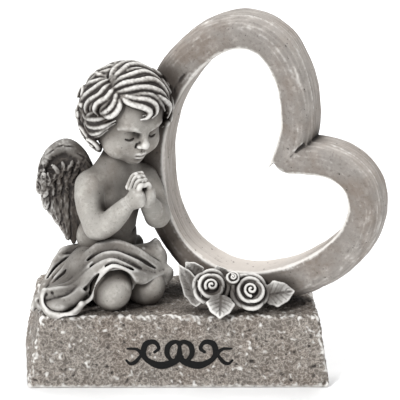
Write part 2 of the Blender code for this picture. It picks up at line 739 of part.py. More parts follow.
def make_wing(name, mirror):
    """A feathered wing; the second one is the first mirrored across the middle of the body."""
    bm = bmesh.new()
    lock(bm, WING_EDGE, 4, 12)
    ball(bm, (-48.5, 8.5, 84.0), (11.0, 3.2, 13.0), math.radians(-4))
    for n, (root, tip, width) in enumerate(WING_QUILLS):
        feather(bm, root, tip, width, 1.3 + 0.25 * (n % 2))
    for n in range(5):
        root = (-56.5 + 3.7 * n, 6.6, 84.5 - 0.4 * n)
        tip = (-55.0 + 3.2 * n, 5.6, 73.0 - 1.6 * (2 - abs(n - 2)))
        feather(bm, root, tip, 2.5, 1.2)
    for n in range(4):
        root = (-55.5 + 4.0 * n, 6.4, 93.0 - 0.3 * n)
        tip = (-54.5 + 3.6 * n, 5.0, 82.0)
        feather(bm, root, tip, 2.6, 1.2)
    if mirror:
        flip_across_body(bm)
    obj = fused(name, bm, 850, 0.6, 1)
    return obj


def feather(bm, root, tip, width, thick):
    """One blade: a flattened ellipsoid between root and tip."""
    low, high = Vector(root), Vector(tip)
    axis = high - low
    along = axis.normalized()
    side = Vector((1.0, 0.0, 0.0))
    across = (side - along * side.dot(along)).normalized()
    turn = Matrix((across, along.cross(across), along)).transposed().to_4x4()
    size = Matrix.Diagonal((width, thick, axis.length * 0.56, 1.0))
    place = Matrix.Translation((low + high) / 2) @ turn @ size
    bmesh.ops.create_uvsphere(bm, u_segments=12, v_segments=8, radius=1.0, matrix=place)


def flip_across_body(bm):
    """Mirrors across the upright plane through the spine, square to the shoulders."""
    left = Vector((math.cos(BODY_TURN), math.sin(BODY_TURN), 0.0))
    middle = Vector(BODY_MIDDLE)
    for vert in bm.verts:
        vert.co -= 2.0 * (vert.co - middle).dot(left) * left
    bmesh.ops.reverse_faces(bm, faces=bm.faces)


# Flowers at the heart's foot


def make_rose(name, centre, radius, nod, turn):
    """A rose: a rolled heart of petals inside two rings of rounded outer ones."""
    bm = bmesh.new()
    place = Matrix.Translation(centre) @ Matrix.Rotation(turn, 4, "Z") @ Matrix.Rotation(nod, 4, "X")

    def spot(angle, reach, up):
        return place @ Vector((reach * math.cos(angle), reach * math.sin(angle), up))

    bmesh.ops.create_uvsphere(
        bm, u_segments=16, v_segments=8, radius=1.0,
        matrix=place @ Matrix.Diagonal((radius * 0.8, radius * 0.8, radius * 0.62, 1.0)),
    )
    spiral = []
    for n in range(15):
        share = n / 14
        angle = share * math.radians(620)
        reach = radius * (0.08 + 0.45 * share)
        spiral.append((*spot(angle, reach, radius * (0.66 - 0.12 * share)), 0.75))
    limb(bm, spiral, 8)
    for ring, (count, reach, up, size) in enumerate(((3, 0.62, 0.30, 0.42), (5, 0.82, -0.02, 0.44))):
        for n in range(count):
            middle = math.radians(360) * (n + 0.5 * ring) / count + 0.4
            arc = []
            for step in range(5):
                angle = middle + math.radians(150 / count) * (step - 2) * 0.55
                lift = up + 0.16 * math.cos((step - 2) * 0.7)
                arc.append((*spot(angle, radius * reach, radius * lift), radius * size * 0.42))
            limb(bm, arc, 8)
    return fused(name, bm, 620, 0.4, 1)


def make_leaf(name, root, tip, across, width, droop):
    """A leaf: two blades rising from a sunk midrib, pointed at the tip."""
    low, high = Vector(root), Vector(tip)
    axis = (high - low).normalized()
    side = Vector(across).normalized()
    side = (side - axis * side.dot(axis)).normalized()
    normal = axis.cross(side)
    shape = ((0.0, 0.28), (0.16, 0.72), (0.36, 1.0), (0.58, 0.9), (0.8, 0.5), (1.0, 0.04))
    top, bottom = [], []
    bm = bmesh.new()
    for share, spread in shape:
        middle = low.lerp(high, share) + normal * droop * math.sin(share * math.pi)
        for rows, lift in ((top, 0.6), (bottom, -0.6)):
            row = []
            for k in (-1.0, -0.5, 0.0, 0.5, 1.0):
                rise = 0.9 * spread * (1.0 - (abs(k) * 2 - 1.0) ** 2) * 0.8
                thick = lift * (1.0 - 0.45 * abs(k))
                row.append(bm.verts.new(middle + side * (width * spread * k) + normal * (rise + thick)))
            rows.append(row)
    for i in range(len(shape) - 1):
        for k in range(4):
            bm.faces.new((top[i][k], top[i + 1][k], top[i + 1][k + 1], top[i][k + 1]))
            bm.faces.new((bottom[i][k], bottom[i][k + 1], bottom[i + 1][k + 1], bottom[i + 1][k]))
        bm.faces.new((top[i][0], bottom[i][0], bottom[i + 1][0], top[i + 1][0]))
        bm.faces.new((top[i][4], top[i + 1][4], bottom[i + 1][4], bottom[i][4]))
    for i in (0, len(shape) - 1):
        for k in range(4):
            bm.faces.new((top[i][k], top[i][k + 1], bottom[i][k + 1], bottom[i][k]))
    bmesh.ops.recalc_face_normals(bm, faces=bm.faces)
    bmesh.ops.triangulate(bm, faces=bm.faces)
    return to_object(name, bm)


def make_flowers(plinth, ring):
    roses = [
        make_rose("rose_left", (14.0, -19.5, 43.0), 7.6, math.radians(52), math.radians(8)),
        make_rose("rose_right", (31.0, -21.0, 41.5), 8.0, math.radians(52), math.radians(12)),
    ]
    bm = bmesh.new()
    ball(bm, (23.5, -18.5, 46.0), (3.4, 3.2, 3.6))
    lock(bm, ((22.3, -20.6, 47.6, 1.0), (23.8, -21.3, 48.8, 1.0), (25.2, -20.6, 47.6, 0.9)))
    bud = fused("rose_bud", bm, 180, 0.4, 1)
    leaves = [
        make_leaf("leaf_front", (18.0, -24.5, 41.0), (17.2, -31.0, 32.6), (1, 0, 0), 6.2, 1.0),
        make_leaf("leaf_left", (8.5, -24.0, 36.0), (0.2, -11.0, 50.0), (0.7, -0.4, 0.5), 4.6, 1.2),
        make_leaf("leaf_left_back", (10.5, -15.0, 44.0), (3.0, -12.5, 52.0), (0.8, 0, 0.6), 4.0, 1.0),
        make_leaf("leaf_right", (37.5, -20.5, 39.5), (50.5, -20.5, 41.5), (-0.1, 0.45, 0.9), 5.4, 1.0),
        make_leaf("leaf_middle", (20.5, -17.5, 41.5), (16.5, -14.5, 51.0), (1, 0, 0), 4.4, 0.8),
    ]
    left, right = roses
    for obj in roses:
        carve(obj, ring, plinth)
    carve(right, left)
    carve(bud, left, right, ring)
    mend(bud, 220, 0.3)
    done = [left, right, bud]
    for leaf in leaves:
        carve(leaf, ring, plinth, *done)
        thin(leaf, 150)
        done.append(leaf)
    for obj in done:
        paint(obj, TRIM)
    return done


def main():
    clear_scene()
    plinth = make_plinth()
    make_flourish(plinth)
    ring = make_ring()
    make_dowels(plinth, ring)
    torso = make_torso()
    carve(torso, plinth, ring)
    legs = make_legs()
    carve(legs[0], torso, plinth)
    carve(legs[1], torso, plinth, legs[0], ring)
    for leg in legs:
        mend(leg, 420)
    head = make_head()
    carve(head, ring)
    carve(torso, head)
    hair = make_hair(head)
    carve(hair, torso, ring)
    mend(hair, 1800)
    hands = make_hands()
    arms = make_arms()
    carve(hands[1], hands[0])
    carve(hands[0], torso)
    carve(hands[1], torso, ring)
    thin(hands[1], 450)
    for arm in arms:
        carve(arm, torso, *hands, ring)
        mend(arm, 400)
    drape = make_drape()
    carve(drape, torso, *legs, *arms, plinth, ring, gap=0.4)
    mend(drape, 1500)
    paint(drape, STONE)
    for name, mirror in (("right_wing", False), ("left_wing", True)):
        wing = make_wing(name, mirror)
        carve(wing, torso, hair, *arms, drape, ring)
        paint(wing, STONE)
    make_flowers(plinth, ring)


main()
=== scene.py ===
"""Looks of the kneeling cherub beside the heart: sculpted resin pieces, antiqued stone finish with painted
light and shade, studio.
"""

import math

import bpy
import numpy as np
import openvdb
from mathutils import Matrix, Vector


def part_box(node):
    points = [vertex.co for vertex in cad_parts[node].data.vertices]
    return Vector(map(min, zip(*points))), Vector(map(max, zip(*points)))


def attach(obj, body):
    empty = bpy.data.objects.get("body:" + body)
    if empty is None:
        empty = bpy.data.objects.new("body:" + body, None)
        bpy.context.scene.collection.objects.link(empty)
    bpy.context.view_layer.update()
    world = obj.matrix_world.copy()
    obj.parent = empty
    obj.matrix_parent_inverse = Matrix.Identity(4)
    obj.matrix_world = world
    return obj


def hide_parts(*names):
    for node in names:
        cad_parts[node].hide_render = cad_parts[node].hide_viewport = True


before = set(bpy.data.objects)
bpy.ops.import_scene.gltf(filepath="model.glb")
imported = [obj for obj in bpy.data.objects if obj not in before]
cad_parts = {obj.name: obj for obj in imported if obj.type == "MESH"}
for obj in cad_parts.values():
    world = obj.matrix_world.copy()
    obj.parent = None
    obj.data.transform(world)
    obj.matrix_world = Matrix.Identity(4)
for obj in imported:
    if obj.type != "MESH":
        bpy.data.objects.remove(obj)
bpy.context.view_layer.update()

MM = 0.001
FAR = 8.0  # the distance that empty space starts with
DETAIL = 1.0


def low(node):
    return np.array(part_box(node)[0]) / MM


def high(node):
    return np.array(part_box(node)[1]) / MM


# Clay: shapes joined and cut as signed distances in millimetres


def join(a, b, blend):
    """The nearer of two distances, with the crease between them filled over the blend width."""
    least = np.minimum(a, b)
    if blend <= 0:
        return least
    share = np.maximum(blend - np.abs(a - b), 0.0) / blend
    return least - share * share * blend * 0.25


def smooth_path(points, count=6):
    """Points of a smooth curve through the given rows."""
    rows = np.asarray(points, float)
    padded = np.vstack([2 * rows[0] - rows[1], rows, 2 * rows[-1] - rows[-2]])
    found = []
    for i in range(len(rows) - 1):
        a, b, c, d = padded[i : i + 4]
        for t in np.arange(count) / count:
            bend = (2 * a - 5 * b + 4 * c - d) * t * t + (3 * b - a - 3 * c + d) * t**3
            found.append(0.5 * (2 * b + (c - a) * t + bend))
    found.append(rows[-1])
    return np.array(found)


def to_segment(across, up, a, b):
    """Distance in a plane to the segment from a to b, and how far along it the nearest spot is."""
    u, v = across - a[0], up - a[1]
    run = b[:2] - a[:2]
    share = np.clip((u * run[0] + v * run[1]) / max(run @ run, 1e-9), 0, 1)
    return np.hypot(u - share * run[0], v - share * run[1]), share


def turned(turn=0.0, nod=0.0, roll=0.0):
    """Rotation matrix: roll about the front-back axis, then nod forward, then turn about Z, in degrees."""
    spin = Matrix.Rotation(math.radians(turn), 3, "Z") @ Matrix.Rotation(math.radians(nod), 3, "X")
    return np.array(spin @ Matrix.Rotation(math.radians(roll), 3, "Y"))


class Clay:
    """A block of space that holds one piece as a signed distance."""

    def __init__(self, corner, opposite, step):
        self.step = step * DETAIL
        self.corner = np.array(corner, float)
        span = np.array(opposite, float) - self.corner
        self.field = np.full(np.ceil(span / self.step).astype(int) + 1, FAR, np.float32)

    def axes(self, start=(0, 0, 0), stop=None):
        stop = self.field.shape if stop is None else stop
        rows = [
            (self.corner[k] + self.step * np.arange(start[k], stop[k])).astype(np.float32)
            for k in range(3)
        ]
        return rows[0][:, None, None], rows[1][None, :, None], rows[2][None, None, :]

    def window(self, corner, opposite):
        """The part of the block between two corners, as (slices, x, y, z), or None if it lies outside."""
        shape = np.array(self.field.shape)
        start = np.clip(np.floor((corner - self.corner) / self.step), 0, shape).astype(int)
        stop = np.clip(np.ceil((opposite - self.corner) / self.step) + 1, 0, shape).astype(int)
        if (stop <= start).any():
            return None
        return tuple(map(slice, start, stop)), *self.axes(start, stop)

    def put(self, where, shape, blend, cut):
        old = self.field[where]
        self.field[where] = -join(-old, shape, blend) if cut else join(old, shape, blend)

    def egg(self, centre, radii, spin=None, blend=0.0, cut=False):
        """An ellipsoid. radii run left-right, front-back and up-down before the spin."""
        spin = np.eye(3) if spin is None else spin
        centre = np.asarray(centre, float)
        radii = np.asarray(radii, float)
        reach = np.sqrt(((spin * radii) ** 2).sum(1)) + blend + 1.5
        found = self.window(centre - reach, centre + reach)
        if found is None:
            return
        where, x, y, z = found
        x, y, z = x - centre[0], y - centre[1], z - centre[2]
        local = [(spin[0, k] * x + spin[1, k] * y + spin[2, k] * z) / radii[k] for k in range(3)]
        near = np.sqrt(sum(v * v for v in local))
        steep = np.sqrt(sum((v / r) ** 2 for v, r in zip(local, radii)))
        self.put(where, near * (near - 1) / np.maximum(steep, 1e-4), blend, cut)

    def rope(self, stations, blend=0.0, cut=False, count=6, flat=1.0, facing=None):
        """A round strand through (x, y, z, radius) stations; flat thins it along the facing direction."""
        path = smooth_path(stations, count)
        reach = path[:, 3].max() + blend + 1.3
        found = self.window((path[:, :3] - reach).min(0), (path[:, :3] + reach).max(0))
        if found is None:
            return
        where, *_ = found
        begin = np.array([part.start for part in where])
        shape = np.full([part.stop - part.start for part in where], FAR, np.float32)
        for a, b in zip(path, path[1:]):
            ends = np.array([a[:3], b[:3]])
            pad = max(a[3], b[3]) + blend + 1.2
            got = self.window(ends.min(0) - pad, ends.max(0) + pad)
            if got is None:
                continue
            spot, x, y, z = got
            run = b[:3] - a[:3]
            x, y, z = x - a[0], y - a[1], z - a[2]
            along = np.clip((x * run[0] + y * run[1] + z * run[2]) / max(run @ run, 1e-9), 0, 1)
            x, y, z = x - along * run[0], y - along * run[1], z - along * run[2]
            away = x * x + y * y + z * z
            if facing is not None:
                through = x * facing[0] + y * facing[1] + z * facing[2]
                away = away + (flat * flat - 1) * through * through
            away = np.sqrt(away) - (a[3] + (b[3] - a[3]) * along)
            inner = tuple(slice(s.start - o, s.stop - o) for s, o in zip(spot, begin))
            shape[inner] = np.minimum(shape[inner], away)
        self.put(where, shape, blend, cut)


# Noise on points, in millimetres


def scatter(cells, seed):
    """A steady random number from 0 to 1 for each whole-number cell."""
    word = (cells[..., 0] * 73856093) ^ (cells[..., 1] * 19349663) ^ (cells[..., 2] * 83492791)
    word = (word + seed * 2654435761) & 0xFFFFFFFF
    for shift, factor in ((15, 0x2C1B3C6D), (12, 0x297A2D39)):
        word = ((word ^ (word >> shift)) * factor) & 0xFFFFFFFF
    return ((word ^ (word >> 15)) & 0xFFFFFF) / float(0xFFFFFF)


GRAIN_TURN = turned(31.0, 23.0, 47.0)


def ripple(points, scale, seed=1):
    """Smooth gradient noise from about -1 to 1 with features of about this size, on a turned grid."""
    places = points @ GRAIN_TURN / scale
    cell = np.floor(places).astype(np.int64)
    part = places - cell
    ease = part * part * part * (part * (part * 6 - 15) + 10)
    total = 0.0
    for corner in np.ndindex(2, 2, 2):
        spot = cell + np.array(corner)
        slope = [scatter(spot, seed * 7 + k) * 2 - 1 for k in range(3)]
        rise = sum(g * (part[:, k] - corner[k]) for k, g in enumerate(slope))
        total = total + np.prod(np.where(corner, ease, 1 - ease), axis=1) * rise
    return total * 1.7


def stirred(points, scale, seed, amount):
    """The points pushed about by noise, so that a pattern laid on them wanders."""
    return points + np.stack([ripple(points, scale, seed + k) for k in range(3)], axis=1) * amount


def pebbles(points, scale, seed=1):
    """Distance to the nearest of scattered seeds, 0 at a seed and about 1 between them."""
    places = points / scale
    cell = np.floor(places).astype(np.int64)
    best = np.full(len(points), 9.0)
    for corner in np.ndindex(3, 3, 3):
        spot = cell + np.array(corner) - 1
        seeds = np.stack([scatter(spot, seed + k) for k in range(3)], axis=1) + spot
        best = np.minimum(best, ((places - seeds) ** 2).sum(1))
    return np.sqrt(best)


def blurred(block, radius):
    """The block averaged over boxes of this radius, three times along each axis."""
    for axis in range(3):
        for _ in range(3):
            width = 2 * radius + 1
            pad = [(0, 0)] * 3
            pad[axis] = (radius + 1, radius)
            total = np.cumsum(np.pad(block, pad, mode="edge"), axis=axis, dtype=np.float64)
            size = block.shape[axis]
            ahead = np.take(total, range(width, width + size), axis=axis)
            behind = np.take(total, range(size), axis=axis)
            block = ((ahead - behind) / width).astype(np.float32)
    return block


def sampled(block, corner, step, points):
    """The block's value at each point, read between cells."""
    places = (points - corner) / step
    top = np.array(block.shape) - 1.001
    places = np.clip(places, 0, top)
    cell = places.astype(int)
    part = places - cell
    total = 0.0
    for ends in np.ndindex(2, 2, 2):
        weight = np.prod(np.where(ends, part, 1 - part), axis=1)
        spot = cell + np.array(ends)
        total = total + weight * block[spot[:, 0], spot[:, 1], spot[:, 2]]
    return total


# From clay to pieces


class Piece:
    """A skinned piece of clay: its points in millimetres, its faces and what it stands for."""

    def __init__(self, name, clay, nodes, slot, place=None):
        self.name, self.nodes, self.slot = name, nodes, slot
        grid = openvdb.FloatGrid()
        grid.background = FAR
        grid.copyFromArray(clay.field, tolerance=0.0)
        points, self.quads = grid.convertToQuads(isovalue=0.0)
        local = clay.corner + points * clay.step
        filled = np.clip(0.5 - clay.field / clay.step, 0, 1)
        reach = max(1, round(0.55 / clay.step))
        wide = max(2, round(1.6 / clay.step))
        self.fine = sampled(blurred(filled, reach), clay.corner, clay.step, local) - 0.5
        self.broad = sampled(blurred(filled, wide), clay.corner, clay.step, local) - 0.5
        spin, shift = (np.eye(3), np.zeros(3)) if place is None else place
        self.points = local @ spin.T + shift
        self.keep_largest()
        self.tint_and_light = np.zeros(len(self.points))

    def keep_largest(self):
        """Drops stray bits that aren't joined to the main body."""
        mark = np.arange(len(self.points))
        while True:
            least = mark[self.quads].min(1)
            after = mark.copy()
            for corner in range(4):
                np.minimum.at(after, self.quads[:, corner], least)
            after = after[after]
            if (after == mark).all():
                break
            mark = after
        names, counts = np.unique(mark, return_counts=True)
        keep = mark == names[counts.argmax()]
        place = np.cumsum(keep) - 1
        self.quads = place[self.quads[keep[self.quads[:, 0]]]]
        for key in ("points", "fine", "broad"):
            setattr(self, key, getattr(self, key)[keep])

    def normals(self):
        corners = self.points[self.quads]
        face = np.cross(corners[:, 2] - corners[:, 0], corners[:, 3] - corners[:, 1])
        total = np.zeros_like(self.points)
        for corner in range(4):
            np.add.at(total, self.quads[:, corner], face)
        return total / np.maximum(np.linalg.norm(total, axis=1, keepdims=True), 1e-12)

    def raise_by(self, amount):
        self.points = self.points + self.normals() * np.asarray(amount)[:, None]


def occlusion(pieces, step=1.2):
    """How closed in each spot of the whole object is, nearby and further off, as blocks to sample for the
    painted shade.
    """
    corner = np.min([piece.points.min(0) for piece in pieces], axis=0) - 14
    opposite = np.max([piece.points.max(0) for piece in pieces], axis=0) + 14
    block = np.zeros(np.ceil((opposite - corner) / step).astype(int) + 1, np.float32)
    for piece in pieces:
        for depth in (0.2, 1.2, 2.4, 3.6):
            spots = piece.points - piece.normals() * depth
            cells = np.round((spots - corner) / step).astype(int)
            block[cells[:, 0], cells[:, 1], cells[:, 2]] = 1.0
    return blurred(block, 2), blurred(block, 5), corner, step


def to_object(piece, closed_in):
    """The piece as a Blender mesh that rides on the one body, with its values for the materials."""
    mesh = bpy.data.meshes.new(piece.name)
    mesh.vertices.add(len(piece.points))
    mesh.vertices.foreach_set("co", (piece.points * MM).astype(np.float32).ravel())
    mesh.loops.add(piece.quads.size)
    mesh.loops.foreach_set("vertex_index", piece.quads.astype(np.int32).ravel())
    mesh.polygons.add(len(piece.quads))
    mesh.polygons.foreach_set("loop_start", np.arange(0, piece.quads.size, 4, dtype=np.int32))
    mesh.update(calc_edges=True)
    mesh.validate()
    mesh.polygons.foreach_set("use_smooth", np.ones(len(mesh.polygons), bool))
    near, far, corner, step = closed_in
    outward = piece.normals()
    # Closeness to other surfaces, near and further off, sampled just outside each point: the materials paint
    # it in as shade.
    shade = sampled(near, corner, step, piece.points + outward * 1.5)
    wide_shade = sampled(far, corner, step, piece.points + outward * 5.0)
    values = {"fine": piece.fine, "broad": piece.broad, "shade": shade, "wide_shade": wide_shade, "tint_and_light": piece.tint_and_light}
    for key, value in values.items():
        layer = mesh.attributes.new(key, "FLOAT", "POINT")
        layer.data.foreach_set("value", np.ascontiguousarray(value, np.float32))
    obj = bpy.data.objects.new(piece.name, mesh)
    bpy.context.scene.collection.objects.link(obj)
    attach(obj, "root")
    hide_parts(*piece.nodes)
    return obj


# The plinth and the painted scroll on it

PLINTH_LEAN = (5.6, 4.9)  # how far the ends, and the front and back, lean in from foot to top
PLINTH_ROUND = 1.7
SCROLL_MIDDLE_Z = 14.6
SCROLL = (  # strokes of the right half as (across, up, half width); the left half mirrors them
    (
        (-1.0, -0.6, 1.0), (3.5, -3.2, 1.5), (9.0, -4.2, 1.6),
        (14.5, -1.6, 1.1), (18.5, 2.8, 0.7), (23.0, 3.3, 0.4),
    ),
    (
        (12.4, -3.2, 0.7), (15.8, 0.4, 1.2), (15.0, 5.2, 1.3),
        (11.2, 6.3, 1.0), (9.2, 3.6, 0.8), (11.0, 1.8, 0.7),
    ),
    ((2.6, -3.0, 0.7), (5.4, 0.6, 1.1), (4.9, 4.6, 1.2), (2.0, 6.4, 0.9), (-0.6, 5.4, 0.8)),
    ((0.0, 0.8, 1.3), (0.0, 2.6, 1.0), (0.0, 6.0, 0.5)),
    ((16.6, 0.8, 0.6), (19.2, -2.5, 0.9), (21.6, -3.5, 0.7), (23.4, -2.0, 0.5)),
)


def front_plane():
    """The plinth's sloping front at the scroll's height: a point on it, and its matrix."""
    lo, hi = low("plinth"), high("plinth")
    tilt = math.atan2(PLINTH_LEAN[1], hi[2] - lo[2])
    share = (SCROLL_MIDDLE_Z - lo[2]) / (hi[2] - lo[2])
    spot = np.array([0.0, lo[1] + PLINTH_LEAN[1] * share, SCROLL_MIDDLE_Z])
    return spot, turned(nod=-math.degrees(tilt))


def scroll_distance(across, up):
    """Distance in the front's own plane to the nearest stroke."""
    best = np.full(np.broadcast(across, up).shape, FAR)
    for stroke in SCROLL:
        path = smooth_path(stroke, 7)
        for side in (-1, 1):
            for a, b in zip(path, path[1:]):
                reach, share = to_segment(across * side, up, a, b)
                best = np.minimum(best, reach - (a[2] + (b[2] - a[2]) * share))
    return best


def make_plinth():
    """The tapered block: worn edges and a hammered surface, calmer round the scroll."""
    lo, hi = low("plinth"), high("plinth")
    clay = Clay(lo - 1.5, hi + 1.5, 0.6)
    x, y, z = clay.axes()
    rise = np.clip((z - lo[2]) / (hi[2] - lo[2]), 0, 1)
    middle_z = (lo[2] + hi[2]) / 2
    over = [
        np.abs(x) - hi[0] + PLINTH_LEAN[0] * rise + PLINTH_ROUND,
        np.abs(y) - hi[1] + PLINTH_LEAN[1] * rise + PLINTH_ROUND,
        np.abs(z - middle_z) - middle_z + lo[2] + PLINTH_ROUND,
    ]
    outside = np.sqrt(sum(np.maximum(v, 0) ** 2 for v in over))
    inside = np.minimum(np.maximum(np.maximum(over[0], over[1]), over[2]), 0)
    clay.field = (outside + inside - PLINTH_ROUND).astype(np.float32)
    piece = Piece("plinth_block", clay, ["plinth"], "resin_body")
    points = piece.points
    spot, spin = front_plane()
    local = (points - spot) @ spin
    free = np.clip((points[:, 2] - lo[2]) / 2.5, 0, 1)
    near = np.abs(local[:, 1]) < 2.5
    ink = np.where(near, scroll_distance(local[:, 0], local[:, 2]), FAR)
    calm = 0.25 + 0.75 * np.clip(ink / 1.6, 0, 1)
    bent = stirred(points, 3.2, 13, 0.7)
    blobs = 0.40 - pebbles(bent, 2.1, 11)
    worms = ripple(bent, 1.5, 3) + 0.6 * ripple(bent, 2.4, 4)
    wear = ripple(points, 11, 5) * 0.3 + ripple(points, 4.6, 6) * 0.22
    edge = np.clip(-piece.broad * 4, 0, 1)
    chips = np.minimum(ripple(points, 3.1, 8) - 0.1, 0) * 1.3 * edge
    fine = worms * 0.42 + blobs * 0.35
    piece.raise_by((fine * calm + wear + chips) * free)
    piece.fine = piece.fine - fine * calm * free * 0.3 + np.clip(0.5 - ink, 0, 1) * 0.1
    return piece


def make_scroll():
    """The black enamel in the scroll's groove, standing just proud of the stone."""
    spot, spin = front_plane()
    lo, hi = low("front_flourish"), high("front_flourish")
    half = (hi[0] - lo[0]) / 2 + 1
    clay = Clay((-half, -1.0, lo[2] - spot[2] - 1.5), (half, 1.2, hi[2] - spot[2] + 1.5), 0.17)
    x, y, z = clay.axes()
    reach = scroll_distance(x[:, 0], z[:, 0]).astype(np.float32)[:, None, :]
    depth = np.abs(y - 0.2) - 0.55
    clay.field = join_round(reach, depth, 0.25)
    piece = Piece("scroll_paint", clay, ["front_flourish"], "black_paint", (spin, spot))
    return piece


def join_round(a, b, radius):
    """Where two shapes overlap, with the edge between their faces rounded."""
    p, q = a + radius, b + radius
    return np.minimum(np.maximum(p, q), 0) + np.hypot(np.maximum(p, 0), np.maximum(q, 0)) - radius


# The open heart, in its own plane: across, depth, up

RING_CENTRE = (44.0, -4.0)
RING_TURN = 21.5
RING_BAND = 7.1  # half the bar's usual width
RING_DEPTH = 10.0  # half its depth
RING_ROUND = 4.0  # rounding of the outer back edge
RING_FRONT_ROUND = (6.2, 8.2)  # the outer front edge: across the band, and front to back
RING_HOLE_ROUND = 1.5  # the edges of the opening
SEAM_DEPTH = -4.4  # where the mould's seam runs round the outside
HEART = (  # (point, handle before, handle after) as (across, up); the first point is the cleft
    ((6.2, 100.8), (11.0, 101.3), (8.6, 108.5)),
    ((9.4, 119.0), (9.6, 113.0), (9.2, 132.5)),
    ((-16.0, 155.3), (2.0, 155.3), (-35.6, 155.3)),
    ((-57.9, 97.0), (-57.9, 128.5), (-58.3, 60.5)),
    ((-14.0, 38.8), (-38.5, 38.8), (12.5, 38.8)),
    ((41.5, 81.0), (41.5, 58.8), (41.5, 93.5)),
    ((19.5, 101.6), (31.5, 101.4), (15.0, 101.7)),
)
RING_GOUGES = (  # old scratches, as (across, depth, up, radius)
    ((-45.5, -9.9, 128.2, 0.3), (-43.2, -9.9, 132.2, 0.8), (-40.3, -9.8, 136.0, 0.35)),
    ((-46.6, -9.6, 125.0, 0.2), (-46.2, -9.8, 127.0, 0.55), (-45.0, -9.8, 129.6, 0.25)),
    ((-39.2, -10.0, 137.6, 0.25), (-37.4, -10.1, 141.5, 0.35), (-34.8, -10.2, 145.2, 0.2)),
    ((5.6, -10.4, 100.0, 0.3), (9.5, -9.8, 104.0, 0.5), (13.0, -8.0, 107.6, 0.9)),
)


def heart_line(count=22):
    """Points along the heart's centreline, from the cleft all the way round and back to it."""
    found = []
    for i, (start, _, out) in enumerate(HEART):
        end, into, _ = HEART[(i + 1) % len(HEART)]
        a, b, c, d = (np.array(p) for p in (start, out, into, end))
        for t in np.arange(count) / count:
            s = 1 - t
            found.append(a * s**3 + 3 * b * t * s**2 + 3 * c * t * t * s + d * t**3)
    return np.array(found + [HEART[0][0]])


def ring_band(across, up):
    """Half the width of the bar: fuller at the upper left and lower right, slimmer at the lower left."""
    upper_left = np.exp(-((across + 45) ** 2 + (up - 138) ** 2) / 900)
    lower_right = np.exp(-((across - 24) ** 2 + (up - 52) ** 2) / 700)
    lower_left = np.exp(-((across + 44) ** 2 + (up - 58) ** 2) / 700)
    return RING_BAND + 0.9 * upper_left + 1.2 * lower_right - 1.1 * lower_left


def heart_reach(across, up):
    """Signed distance to the heart's centreline: positive outside, with a pointed inner cleft."""
    line = heart_line()
    best = np.full(across.shape, 1e9)
    inside = np.zeros(across.shape, bool)
    for a, b in zip(line, line[1:]):
        best = np.minimum(best, to_segment(across, up, a, b)[0])
        run = b - a
        crosses = (a[1] > up) != (b[1] > up)
        meets = a[0] + (up - a[1]) / (run[1] if abs(run[1]) > 1e-9 else 1e-9) * run[0]
        inside ^= crosses & (across < meets)
    cleft = line[0]
    leaving = (line[1] - cleft) / np.linalg.norm(line[1] - cleft)
    coming = (line[-2] - cleft) / np.linalg.norm(line[-2] - cleft)
    u, v = across - cleft[0], up - cleft[1]
    beyond = (u * leaving[0] + v * leaving[1] < 0) & (u * coming[0] + v * coming[1] < 0)
    mitre = np.maximum(np.abs(u * leaving[1] - v * leaving[0]), np.abs(u * coming[1] - v * coming[0]))
    at_tip = beyond & inside & (np.hypot(u, v) <= best + 1e-6)
    best = np.where(at_tip, mitre, best)
    return np.where(inside, -best, best)


def ring_clay():
    """The heart's bar: a band round the centreline, fuller in front, with the scratches cut in."""
    clay = Clay((-66, -11.5, 31.5), (50, 11.5, 163.5), 0.56)
    x, y, z = clay.axes()
    across, up = np.broadcast_arrays(x[:, 0], z[:, 0])
    out = heart_reach(across, up).astype(np.float32)[:, None, :]
    round_out, round_back = (
        np.where(out > 0, np.where(y < 0, front, RING_ROUND), RING_HOLE_ROUND) for front in RING_FRONT_ROUND
    )
    band = ring_band(across, up).astype(np.float32)[:, None, :]
    crown = 0.8 * np.clip(1 - (out / band) ** 2, 0, 1) * (y < 0)
    p = np.abs(out) - band
    q = np.abs(y) - RING_DEPTH + 0.6 - crown
    u, v = np.maximum(p + round_out, 0) / round_out, np.maximum(q + round_back, 0) / round_back
    near = np.hypot(u, v)
    corner = near * (near - 1) / np.maximum(np.hypot(u / round_out, v / round_back), 1e-4)
    clay.field = np.where((u > 0) & (v > 0), corner, np.maximum(p, q)).astype(np.float32)
    clay.field = np.maximum(clay.field, low("heart_ring")[2] - z)
    for gouge in RING_GOUGES:
        clay.rope(gouge, 0.25, True)
    return clay


